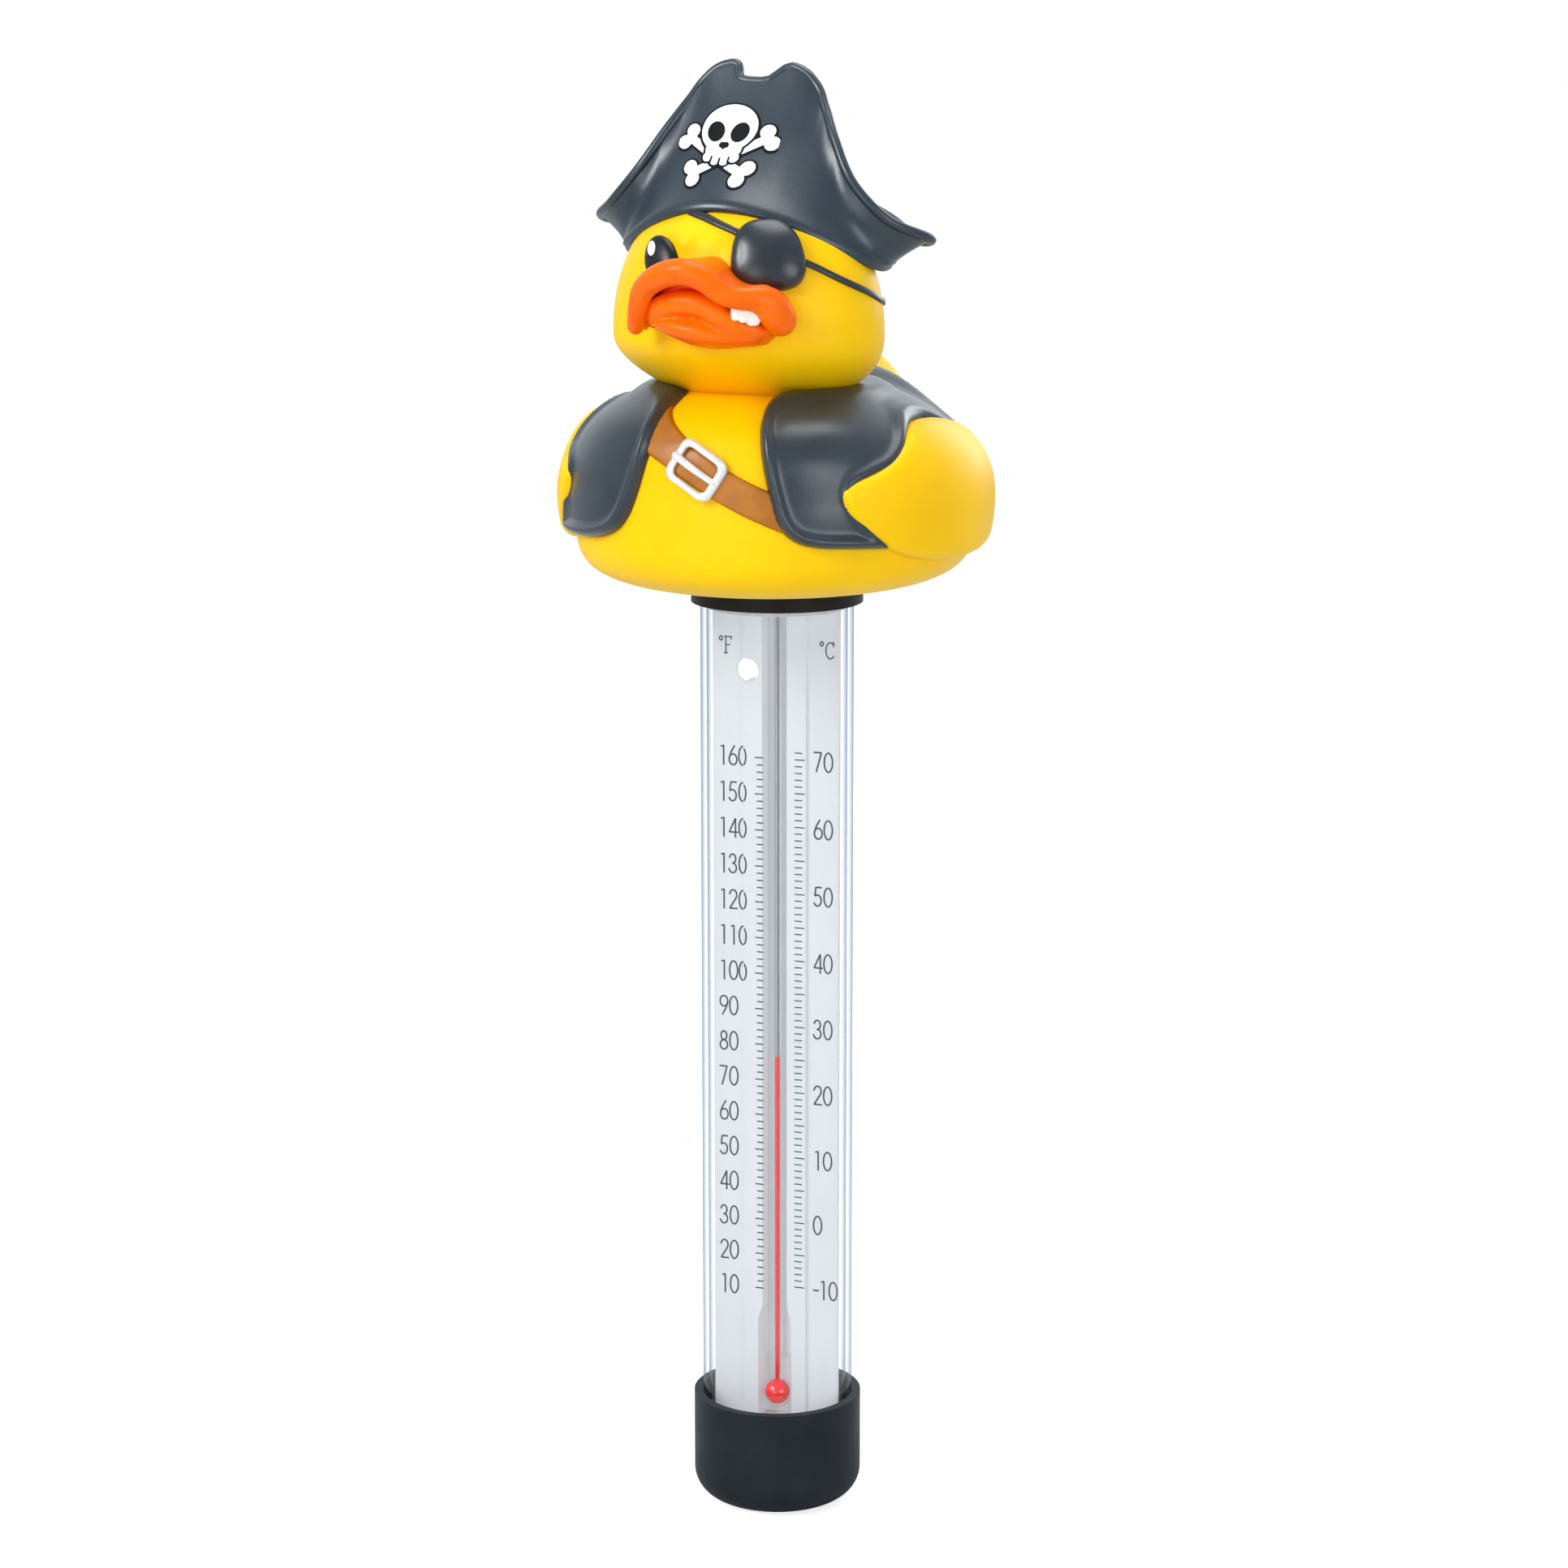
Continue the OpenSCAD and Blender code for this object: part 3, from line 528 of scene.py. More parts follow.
# The card's glow is painted light: it brightens the card where the tube, the rod and the duck keep
# light from it.
card_white = material("card_white", (0.44, 0.45, 0.46), (0.47, 0.48, 0.49), rough=(0.45, 0.55),
                      scale=90, bump=0.01, bump_scale=700, fine=0.002, fine_scale=6000,
                      Emission_Color=(0.95, 0.97, 1, 1), Emission_Strength=0.26)
cap_black = material("cap_black", (0.011, 0.015, 0.019), (0.017, 0.021, 0.026), rough=(0.38, 0.5),
                     scale=120, bump=0.012, bump_scale=900, fine=0.01, fine_scale=5200,
                     Specular_IOR_Level=0.12)
collar_black = material("collar_black", (0.009, 0.007, 0.006), (0.014, 0.011, 0.009),
                        rough=(0.35, 0.48), scale=120, bump=0.012, bump_scale=900, fine=0.008,
                        fine_scale=5200, Specular_IOR_Level=0.15)
steel = material("steel", (0.5, 0.5, 0.51), (0.62, 0.62, 0.63), rough=(0.25, 0.4), scale=300,
                 bump=0.01, bump_scale=2500, Metallic=1.0)
rubber = material("rubber", (0.02, 0.02, 0.02), (0.035, 0.035, 0.035), rough=(0.55, 0.7), scale=300,
                  bump=0.01, bump_scale=2500)
foam = material("foam", (0.7, 0.69, 0.66), (0.8, 0.79, 0.76), rough=(0.75, 0.9), scale=900,
                bump=0.05, bump_scale=2500)
# The red spirit's glow is painted light that keeps the column bright behind the tube and the rod.
red = material("red_spirit", (0.85, 0.006, 0.008), (0.92, 0.015, 0.015), rough=(0.12, 0.2),
               scale=300, bump=0.003, bump_scale=1500, Coat_Weight=0.3, Coat_Roughness=0.04,
               Emission_Color=(1, 0.02, 0.02, 1), Emission_Strength=0.18)
# Both clear finishes are darkened towards the edges of their walls as painted shade.
clear_plastic = clear_material("clear_plastic", (0.985, 0.99, 0.993), (0.38, 0.45, 0.53), 0.03,
                               0.55)
clear_glass = clear_material("clear_glass", (1, 1, 1), (0.86, 0.875, 0.89), 0.02, 0.16)
# The strip's glow is painted light that brightens the channel behind the glass rod.
enamel = material("bore_enamel", (0.4, 0.42, 0.44), (0.45, 0.47, 0.49), rough=(0.35, 0.45),
                  scale=200, bump=0.005, bump_scale=900, Emission_Color=(0.9, 0.95, 1, 1),
                  Emission_Strength=0.2)

CAD_FINISH = {
    "end_cap": cap_black, "ballast_weight": steel, "cap_gasket": rubber, "foot_pad": foam,
    "clear_tube": clear_plastic, "scale_card": card_white, "capillary_glass": clear_glass,
    "bulb_liquid": red, "liquid_tip": red, "head_pad": foam, "collar_gasket": rubber,
    "collar": collar_black, "swivel_clip": steel, "float_bush": collar_black,
}
for node, finish in CAD_FINISH.items():
    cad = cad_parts[node]
    cad.data.materials.clear()
    cad.data.materials.append(finish)


# ---------- duck: body and head shells ----------

def levels(z0, z1, steps):
    """Heights from z0 to z1, closer together near both ends."""
    return z0 + (z1 - z0) * (1 - np.cos(np.linspace(0, math.pi, steps + 1))) / 2


def shell(surface, outer, inner, opening=()):
    """A hollow shell: down its outer face, round the opening, and up its inner face. The
    opening is a radius and the heights of its rings."""
    n = 220
    t = np.linspace(0, 360, n, endpoint=False)
    rings = [surface(t, np.full(n, z)) for z in outer[::-1]]
    rings += [circle_at(opening[0], z, n) for z in opening[1:]]
    rings += [surface(t, np.full(n, z), -SHELL) for z in inner]
    return flipped(loft(rings))


body_shell = shell(body_point, levels(BODY_FOOT, 188.7, 110), levels(BODY_FOOT + SHELL, 186, 40),
                   (OPENING_R, OPENING_Z, OPENING_Z + SHELL))
make("duck_body_skin", body_shell, yellow, ["duck_body"])
head_shell = shell(head_point, levels(187.2, 218, 110), levels(187.2, 216, 40))
make("duck_head_skin", head_shell, yellow, ["duck_head"])


# ---------- wings, coat and belt: raised skins on the body ----------

WING = [(-49.3, 174), (-47.6, 175.6), (-43, 176.6), (-36.5, 177.6), (-30, 179), (-24, 180.6),
        (-17, 182.3), (-7, 183.2), (6, 182.9), (22, 181), (38, 177.2), (52, 171.4), (46, 167.2),
        (30, 164.2), (12, 162.7), (-6, 162.4), (-20, 162.9), (-31, 164.3), (-39, 166.6),
        (-45.2, 169.5), (-48.6, 171.9)]


def swept_back(outline):
    """An outline of the left side moved to the right side, where the front reaches less far."""
    around, z = outline[:, 0], outline[:, 1]
    return np.stack([-180 - around - 13 * (1 - ease(around, -48, 5)), z], -1)


def wing(side, name):
    """A wing as a soft cushion with a blunt tip towards the front; side is -1 on the right."""
    outline = smooth_path(WING, 200, closed=True)
    low, high = (-52, 160), (56, 185)
    if side < 0:
        outline = swept_back(outline)
        low, high = (-240, 160), (-130, 185)
    flat = scaled(outline)
    cushion = lambda depth: rounded(depth, 1.9, 1.5) + rounded(depth, 1.3, 8.0)
    raised = skin(body_point, lambda p: polygon_distance(p, flat), low, high, 0.4, cushion)
    make(name + "_skin", raised, yellow, [name])


wing(1, "left_wing")
wing(-1, "right_wing")

NECK_Z = 188.1
COAT_LEFT_FRONT = [(90, NECK_Z), (40, NECK_Z), (0, NECK_Z), (-36, NECK_Z), (-50, 188.0),
                   (-59, 187.7), (-65, 186.8), (-68.2, 185), (-69.2, 182.2), (-69.2, 177),
                   (-67.6, 171.4), (-64.8, 168.4), (-60.5, 166.7), (-54, 165.9), (-42, 165.5),
                   (-30, 165.1)]
COAT_RIGHT_FRONT = [(90, NECK_Z), (40, NECK_Z), (0, NECK_Z), (-36, NECK_Z), (-50, 188.0),
                    (-60, 187.6), (-67.5, 186.4), (-71.5, 184.2), (-73.4, 181), (-72.8, 177.4),
                    (-70.8, 173.4), (-68, 170), (-63, 167.4), (-55, 165.9), (-44, 165.3),
                    (-27, 164.9)]
ARMHOLE = [(-35, 166.0), (-41, 169.8), (-45, 174.4), (-38, 176.2), (-31, 177.2), (-24, 179),
           (-17, 181.2), (-8, 182.8), (4, 182.8), (13, 180), (20, 175.5), (27, 175.5), (38, 178.2),
           (55, 181.2), (72, 183.2), (90, 184.2)]


def coat_outline():
    """The whole coat's border in flat units, from the back of the neck round both fronts."""
    left = np.vstack([smooth_path(COAT_LEFT_FRONT, 160), smooth_path(ARMHOLE, 120)])
    front = smooth_path(COAT_RIGHT_FRONT, 160) * [-1, 1] - [180, 0]
    hole = swept_back(smooth_path(ARMHOLE, 120))
    right = np.vstack([front, hole]) + [360, 0]
    return scaled(np.vstack([left, right[::-1][1:-1]]))


def coat_height(depth):
    """A thin coat with a rolled bead along its border."""
    bead = 0.85 * np.exp(-((depth - 1.15) / 0.8) ** 2)
    return rounded(depth, 1.25, 0.9) + bead


border = coat_outline()
coat = skin(body_point, lambda p: polygon_distance(p, border), (-74, 162), (264, 188.5), 0.4,
            coat_height)
make("coat_skin", coat, slate, ["coat"])

BELT = [(-116, 184.3), (-107.5, 182.6), (-98.5, 180.6), (-89.5, 178.0), (-81.5, 175.5),
        (-74.5, 173.5), (-70, 172.4), (-65, 171.2), (-57, 169.6)]
belt_line = scaled(smooth_path(BELT, 60))
belt = skin(body_point, lambda p: path_distance(p, belt_line, 2.6), (-122, 164), (-50, 188), 0.32,
            lambda depth: rounded(depth, 0.7, 0.35))
make("shoulder_belt_skin", belt, brown, ["shoulder_belt"])


# ---------- buckle ----------

def buckle():
    """A rounded rectangular frame lying on the belt, with a prong along the belt."""
    at = np.array([[-89.0, 177.9]])
    centre = body_point(at[:, 0], at[:, 1])[0]
    out = normals_of(body_point, at)[0]
    ahead = body_point(-79.0, 173.9) - body_point(-97.0, 179.8)
    ahead -= out * (ahead @ out)
    ahead /= np.linalg.norm(ahead)
    across = np.cross(out, ahead)
    place = lambda x, y, h: centre + ahead * x + across * y + out * h
    half_x, half_y, corner, bar, sides, bend = 3.75, 3.1, 1.35, 0.72, 16, 0.035
    loop = []
    for k, (sx, sy) in enumerate(((1, 1), (-1, 1), (-1, -1), (1, -1))):
        for a in np.linspace(90 * k, 90 * k + 90, 9):
            c, s = math.cos(math.radians(a)), math.sin(math.radians(a))
            loop.append((sx * (half_x - corner) + corner * c, sy * (half_y - corner) + corner * s))
    loop = np.array(loop)
    rings = []
    for a in even_turn(sides):
        grow = 1 + bar * math.cos(a) / np.linalg.norm(loop, axis=1)
        flat = loop * grow[:, None]
        sag = bend * flat[:, 0] ** 2
        rings.append([place(p[0], p[1], 1.15 + 0.6 * math.sin(a) - s) for p, s in zip(flat, sag)])
    bars = np.array(rings).reshape(-1, 3), ring_faces(sides, len(loop), closed=True)
    make("buckle_frame_bar", flipped(bars), silver, ["buckle_frame"])
    line = [place(x, 0.0, 1.5 - bend * x * x) for x in np.linspace(-half_x, half_x - 0.4, 16)]
    radii = np.interp(np.linspace(0, 1, 16), [0, 0.15, 1], [0.8, 0.62, 0.5])
    make("buckle_prong_bar", tube(line, radii, sides), silver, ["buckle_prong"])


buckle()


# ---------- bill ----------

def planform(theta, left, right, reach):
    """A point of the bill's outline seen from above; theta is 0 at the front and 90 at the
    duck's left end."""
    a = np.radians(theta)
    return (right if theta > 0 else left) * np.sin(a), -27 - reach * np.cos(a)


LIP_Z = [(-66, 198.9), (-60, 200.2), (-54, 201.7), (-48, 203.5), (-41, 205.3), (-22, 207.4),
         (-4, 208.3), (9, 207.9), (19, 206.6), (28, 205.1), (39, 204.4), (50, 204.3), (58, 203.9),
         (66, 202.9), (72, 201.7), (80, 200.0)]
LIP_R = [(-66, 1.3), (-54, 1.55), (-40, 1.85), (-5, 2.1), (20, 1.9), (36, 1.75), (46, 1.9),
         (56, 2.35), (65, 2.8), (73, 2.75), (80, 2.3)]
ROOT_Z = [(-66, 200.2), (-54, 203.4), (-41, 206.4), (-22, 208.3), (-4, 209.3), (9, 209.2),
          (19, 207.8), (28, 206.7), (39, 206.0), (50, 205.6), (58, 205.2), (66, 204.2), (80, 201.4)]
LOW_TOP = [(-56, 201.0), (-49, 201.9), (-40, 203.3), (-31, 204.4), (-11, 205.3), (6, 205.1),
           (17, 203.9), (25, 202.7), (39, 201.4), (51, 200.5), (61, 200.1), (70, 199.8)]
LOW_BOTTOM = [(-56, 199.6), (-43, 198.9), (-23, 197.4), (-2, 196.3), (14, 196.1), (31, 196.4),
              (51, 196.8), (61, 197.8), (70, 198.6)]


def section(front, back, half_front, half_back):
    """A flat oval ring from a front point to a back point, in the plane of both and up."""
    along = (front - back) / np.linalg.norm(front - back)
    up = np.array([0, 0, 1.0]) - along * along[2]
    up /= np.linalg.norm(up)
    a = np.radians(np.linspace(-90, 90, 10))
    ring = [front + half_front * (along * math.cos(k) + up * math.sin(k)) for k in a]
    return ring + [back - half_back * (along * math.cos(k) + up * math.sin(k)) for k in a]


def upper_bill():
    """A rolled lip with a thick plate behind it that runs back into the head."""
    thetas = np.linspace(-64, 76, 64)
    z, r, root = curve_at(thetas, LIP_Z), curve_at(thetas, LIP_R), curve_at(thetas, ROOT_Z)
    lip, plate = [], []
    for k, th in enumerate(thetas):
        x, y = planform(th, 11.8, 12.9, 10.6)
        lip.append((x, y, z[k]))
        front = np.array([x * 0.94, y + 1.2, z[k] + 0.1])
        back = np.array([x * 0.84, -24.0 + 0.3 * abs(x), root[k] - 1.1])
        plate.append(section(front, back, 0.8 * r[k], 0.85 * r[k]))
    return fused([tube(lip, r, 24), loft(plate)], 0.28, 5)


def lower_bill():
    """A pouting lower lip over a rounded cushion, with a crease between them."""
    thetas = np.linspace(-51, 65, 56)
    top, bottom = curve_at(thetas, LOW_TOP), curve_at(thetas, LOW_BOTTOM)
    cushion, roll, radii = [], [], []
    a = even_turn(28)
    for k, th in enumerate(thetas):
        half = max(0.9, (top[k] - bottom[k]) / 2)
        r = min(1.9, half * 0.72)
        x, y = planform(th, 10.9, 12.2, 9.0)
        roll.append((x, y + r, top[k] - r))
        radii.append(r)
        x, y = planform(th, 10.6, 11.9, 8.7)
        low = half * 1.25 / 2
        deep = (-22 - y) / 2
        cushion.append([(x, y + deep - deep * math.cos(q), bottom[k] + low + low * math.sin(q))
                        for q in a])
    return fused([loft(cushion), tube(roll, radii, 20)], 0.28, 4)


def mouth_lining():
    """The inside of the mouth, set back behind both lips; its deeper red is painted shade."""
    thetas = np.linspace(-46, 58, 40)
    top, bottom = curve_at(thetas, LIP_Z), curve_at(thetas, LOW_TOP) - 1.6
    a = even_turn(24)
    rings = []
    for k, th in enumerate(thetas):
        x, y = planform(th, 9.8, 10.6, 7.4)
        mid, half, deep = (top[k] + bottom[k]) / 2, (top[k] - bottom[k]) / 2, (-22 - y) / 2
        rings.append([(x, y + deep - deep * math.cos(q), mid + half * math.sin(q)) for q in a])
    return loft(rings)


def teeth():
    """Three blunt teeth between the lips, at the left of the mouth."""
    parts = []
    for th, z, wide in ((35.5, 202.5, 0.85), (41.5, 202.2, 1.05), (48.5, 201.7, 1.15)):
        x, y = planform(th, 11, 12.7, 9.3)
        v, f = egg((wide, 0.8, 1.55), 28, 18, power=0.6)
        parts.append((v @ rotation(0, th * 0.8).T + (x, y, z), f))
    return joined(parts)


make("upper_bill_skin", upper_bill(), orange, ["upper_bill"])
make("lower_bill_skin", lower_bill(), orange, ["lower_bill"])
make("mouth_lining", mouth_lining(), mouth_red)
make("teeth_row", teeth(), ivory, ["teeth"])


# ---------- eye, patch and strap ----------

def on_head(t, z, out=0.0):
    """A point of the head's skin with its outward direction and its turn about Z."""
    p = np.array([[t, z]])
    n = normals_of(head_point, p)[0]
    return head_point(t, z) + n * out, n, math.degrees(math.atan2(n[0], -n[1]))


EYE_HALF = np.array([3.5, 1.5, 4.3])
centre, out, turn = on_head(-115.5, 208.6, 0.1)
EYE_LEAN, EYE_TILT = -0.3, -12


def on_eye(local):
    """From the eye's own axes to the frame: leaning sideways, tilted with the face and turned."""
    lean = np.array([[1, 0, EYE_LEAN], [0, 1, 0], [0, 0, 1]])
    return np.asarray(local) @ (rotation(EYE_TILT, turn) @ lean).T + centre


ball, ball_faces = egg(EYE_HALF, 64, 40)
make("right_eye_ball", (on_eye(ball), ball_faces), eye_black, ["right_eye"])


def glint():
    """A small painted highlight lying on the eyeball's upper outer side."""
    v, f = egg((0.95, 0.25, 1.2), 32, 20)
    x, z = v[:, 0] - 1.0, v[:, 2] + 2.1
    share = 1 - (x / EYE_HALF[0]) ** 2 - (z / EYE_HALF[2]) ** 2
    bulge_out = EYE_HALF[1] * np.sqrt(np.maximum(0, share))
    return on_eye(np.stack([x, v[:, 1] - bulge_out, z], -1)), f


make("right_eye_glint", glint(), white_paint_and_highlight)


def eye_patch():
    """A domed rounded square over the left eye."""
    centre = scaled([(-62.5, 210.0)], HEAD_DEG)[0]
    half = np.array([7.0, 5.1])

    def distance(p):
        q = np.abs((p - centre) / half)
        return ((q ** 2.7).sum(-1) ** (1 / 2.7) - 1) * half.min()

    dome = lambda depth: rounded(depth, 1.1, 0.9) + rounded(depth, 1.9, 5.1)
    return skin(head_point, distance, (-82, 204), (-43, 216), 0.25, dome, deg=HEAD_DEG)


make("eye_patch_dome", eye_patch(), patch_black, ["eye_patch"])

STRAP = [(-136, 218.2), (-123, 217.1), (-110, 216.4), (-97, 215.5), (-76.5, 213.4), (-60, 211),
         (-44, 209), (-27, 206.4), (-11, 204.5), (10, 202.6), (40, 201.6), (80, 202.6),
         (115, 205.5), (150, 209.5), (180, 213.5), (200, 216.5)]
strap_line = scaled(smooth_path(STRAP, 160), HEAD_DEG)
strap = skin(head_point, lambda p: path_distance(p, strap_line, 0.55), (-138, 200), (203, 218),
             0.16, lambda depth: rounded(depth, 0.45, 0.2), deg=HEAD_DEG, sink=0.2)
make("patch_strap_band", strap, patch_black, ["patch_strap"])


# ---------- hat ----------

# The hat's upper edge by the angle round it from the front: half width, depth and height
EDGE_X = [(0, 0), (24, 9.0), (36, 11.8), (50, 14.5), (65, 18.5), (78, 23.8), (90, HAT_A),
          (105, 25.2), (120, 21.2), (135, 16.4), (157, 8.6), (180, 0)]
EDGE_Y = [(0, -6.3), (24, -6.8), (36, -8.6), (50, -11.4), (65, -13.8), (78, -12.2), (90, -5.9),
          (105, -1.0), (120, 3.6), (135, 7.2), (157, 10.3), (180, 11.3)]
EDGE_Z = [(0, 239.0), (13, 238.7), (20, 237.9), (26, 236.2), (36, 232.8), (50, 228.2), (65, 221.8),
          (78, 216.4), (90, 213.6), (105, 212.7), (120, 213.8), (135, 215.7), (157, 218.2),
          (180, 219)]
# Depth of the notch in the front edge by distance from the middle; its right side is steep
NOTCH = [(-40, 0), (-5.2, 0), (-4.6, 0.15), (-4.1, 0.5), (-3.8, 1.9), (-3.2, 2.6), (-1.5, 2.85),
         (0.5, 2.85), (2.0, 2.5), (3.2, 1.5), (4.3, 0.5), (5.4, 0), (40, 0)]
HAT_ROLL = 0.042


def mirrored(table, sign):
    """A half table over 0..180 degrees as a whole one over -180..180."""
    table = np.asarray(table, float)
    return np.vstack([(table[:0:-1] * [-1, sign]), table])


def hat_edge(a):
    """The brim's upper edge at angle a from the front."""
    return np.stack([curve_at(a, mirrored(EDGE_X, -1)), curve_at(a, mirrored(EDGE_Y, 1)),
                     curve_at(a, mirrored(EDGE_Z, 1))], -1)


def hat_fold(a):
    """The low line round the head where the brim turns up, at angle a from the front."""
    c, s = cos_sin(a)
    deep = np.where(c > 0, 15.5, 17.0)
    rise = np.where(c > 0, 8.5, 4.0)
    return np.stack([21.9 * s, -8 - deep * c, 208.7 + rise * c * c], -1)


def hat():
    """The hat: a brim turned up all round, thin and open at the top, over a low crown."""
    a = np.linspace(-180, 180, 720, endpoint=False)
    c, n = cos_sin(a)
    fold, whole_edge = hat_fold(a), hat_edge(a)
    flat = whole_edge - fold
    reach = np.linalg.norm(flat, axis=1)[:, None]
    cut = (np.interp(whole_edge[:, 0], *np.array(NOTCH).T) * (c > 0.2) / flat[:, 2])[:, None]
    out = np.stack([n, -c, 0 * a], -1)

    def panel(v):
        v = v - cut * float(ease(v, 0.4, 1.0))
        roll, hollow = 0.35 * np.exp(-(v / 0.12) ** 2), 0.055 * reach * np.sin(math.pi * v)
        return fold + flat * v + out * (roll - hollow)

    edge = panel(1.0)
    inward = np.stack([-edge[:, 0], 4 - edge[:, 1], 0 * a], -1)
    inward /= np.linalg.norm(inward, axis=1)[:, None]
    rings = []
    under = np.array([0, -7.0, 219.5])
    for k, lift in ((0.75, 0), (0.5, 1.2), (0.28, 1.4), (0.12, 0.5)):
        rings.append(fold + (under - fold) * k + [0, 0, lift])
    for b in np.radians(np.linspace(-60, 0, 5)):
        rings.append(fold + out * 0.9 * (math.cos(b) - 1) + [0, 0, 0.9 * math.sin(b)])
    rings += [panel(v) for v in np.linspace(0.04, 1, 44)]
    thick = 1.6
    for s in np.linspace(0, math.pi, 7)[1:]:
        rings.append(edge + inward * thick * (1 - math.cos(s)) / 2 + [0, 0, 0.4 * math.sin(s)])
    lip = rings[-1]
    wall = lip + (fold - edge) * 0.55 + inward * [0.4, 0.4, 0]
    for s in np.linspace(0.1, 1, 10):
        rings.append(lip + (wall - lip) * s)
    base_y = -3.5 - np.where(c > 0, 7.5, 10.5) * c
    base = np.stack([16.5 * n, base_y, 214.4 + 11 * ease(c, 0.2, 0.95)], -1)
    for s in np.linspace(0.2, 1, 5):
        rings.append(wall + (base - wall) * s)
    crown = np.array([0, -2.5, 231.0])
    for s in np.linspace(0.06, 0.97, 18):
        dome = base + (crown - base) * [s, s, 0]
        dome[:, 2] = base[:, 2] + (crown[2] - base[:, 2]) * math.sin(math.pi / 2 * min(1, s * 1.25))
        rings.append(dome)
    rings = [r - r[:, :1] * [0, 0, HAT_ROLL] for r in rings]
    rim = edge + inward * 0.55 - edge[:, :1] * [0, 0, HAT_ROLL] + [0, 0, -0.25]
    return loft(rings), rim


(hat_verts, hat_faces), hat_rim = hat()
make("hat_skin", (hat_verts, hat_faces), hat_slate, ["hat"])


def ring_tube(path, radius):
    """A closed tube along a closed path."""
    sides = 14
    tangent = np.roll(path, -1, axis=0) - np.roll(path, 1, axis=0)
    tangent /= np.linalg.norm(tangent, axis=1)[:, None]
    side = np.cross(tangent, [0, 0.3, 1.0])
    side /= np.linalg.norm(side, axis=1)[:, None]
    up = np.cross(side, tangent)
    verts = [path + radius * (math.cos(k) * side + math.sin(k) * up) for k in even_turn(sides)]
    return np.vstack(verts), ring_faces(sides, len(path), closed=True)


make("hat_rim_bead", ring_tube(hat_rim, 0.8), hat_slate)


# ---------- emblem: a plain skull over crossed bones, laid on the hat's front ----------

hat_tree = BVHTree.FromPolygons([Vector(v) for v in hat_verts], hat_faces)


def circle(p, x, y, r):
    """Signed distance to a disc."""
    return np.hypot(p[:, 0] - x, p[:, 1] - y) - r


def bar(p, x0, y0, x1, y1, r):
    """Signed distance to a round-ended bar."""
    return path_distance(p, [(x0, y0), (x1, y1)], r)


def oval(p, x, y, half_x, half_y, turn=0.0):
    """Rough signed distance to an oval, turned by an angle in degrees."""
    a = math.radians(turn)
    q = (p - [x, y]) @ np.array([[math.cos(a), -math.sin(a)], [math.sin(a), math.cos(a)]])
    return (np.hypot(q[:, 0] / half_x, q[:, 1] / half_y) - 1) * min(half_x, half_y)


def skull_shape(p):
    """The skull: a dome, cheeks and four teeth."""
    dome = oval(p, 0.0, 2.6, 4.6, 4.15)
    jaw = np.minimum.reduce([circle(p, x, y, 0.82) for x, y in
                             ((-2.25, -2.3), (-0.8, -2.85), (0.7, -2.9), (2.15, -2.4))])
    cheeks = bar(p, -1.5, -0.9, 1.5, -0.9, 1.5)
    return np.minimum.reduce([dome, jaw, cheeks])


def socket_shape(p):
    """The skull's dark parts: eye sockets, nose and the gaps between its teeth."""
    left = oval(p, -2.0, 2.0, 1.42, 1.75, 18)
    right = oval(p, 2.0, 1.9, 1.42, 1.7, -14)
    nose = np.minimum(oval(p, -0.35, -0.3, 0.52, 0.5), oval(p, 0.25, -0.3, 0.52, 0.5))
    gaps = [bar(p, x, y, x, y - 0.9, 0.13) for x, y in ((-1.5, -2.3), (-0.05, -2.6), (1.42, -2.4))]
    return np.minimum.reduce([left, right, nose, bar(p, -0.05, -0.4, -0.05, -0.85, 0.2), *gaps])


def bones_shape(p):
    """Two crossed bones with double knuckles at their ends."""
    shapes = []
    for start, end in (((-6.5, 0.9), (4.0, -5.0)), ((6.6, 0.9), (-4.0, -5.0))):
        start, end = np.array(start), np.array(end)
        d = (end - start) / np.linalg.norm(end - start)
        side = np.array([-d[1], d[0]])
        shapes.append(bar(p, *start, *end, 0.72))
        for knuckle, back in ((start, -1), (end, 1)):
            for k in (-1, 1):
                spot = knuckle + side * k * 1.15 + d * back * 0.35
                shapes.append(circle(p, spot[0], spot[1], 1.2))
    return np.minimum.reduce(shapes)


EMBLEM, EMBLEM_SCALE = (-2.75, 226.5), (1.03, 0.87)


def laid_on_hat(shape, level, height, name, finish, node=()):
    """A flat shape in the front plane, dropped on to the hat and raised by a small height."""
    reach, step, sunk = 8.5, 0.16, 0.1
    p, _, faces = patch(lambda q: shape(q) - level, (-reach, -reach), (reach, reach), step)
    top, under = [], []
    for x, y in p:
        origin = Vector((EMBLEM[0] + x * EMBLEM_SCALE[0], -60.0, EMBLEM[1] + y * EMBLEM_SCALE[1]))
        hit, normal = hat_tree.ray_cast(origin, Vector((0, 1, 0)))[:2]
        if normal.y > 0:
            normal = -normal
        top.append(hit + normal * height)
        under.append(hit - normal * sunk)
    solid = slab(np.array(top), np.array(under), faces)
    make(name, solid, finish, list(node))


def printed(p):
    """Both drawings, the bones kept clear of the skull by a thin line."""
    return np.minimum(skull_shape(p), np.maximum(bones_shape(p), 0.42 - skull_shape(p)))


laid_on_hat(lambda p: np.minimum(skull_shape(p), bones_shape(p)), 0.36, 0.10, "emblem_outline",
            black_ink)
laid_on_hat(printed, 0.0, 0.18, "emblem_white", white_paint_and_highlight, ["hat_emblem"])
laid_on_hat(socket_shape, 0.0, 0.26, "emblem_sockets", black_ink)


# ---------- printed scale on the card ----------

def arc(cx, cy, rx, ry, a0, a1, count=18):
    """Points of an oval arc from angle a0 to a1."""
    a = np.radians(np.linspace(a0, a1, count))
    return [(cx + rx * math.cos(k), cy + ry * math.sin(k)) for k in a]


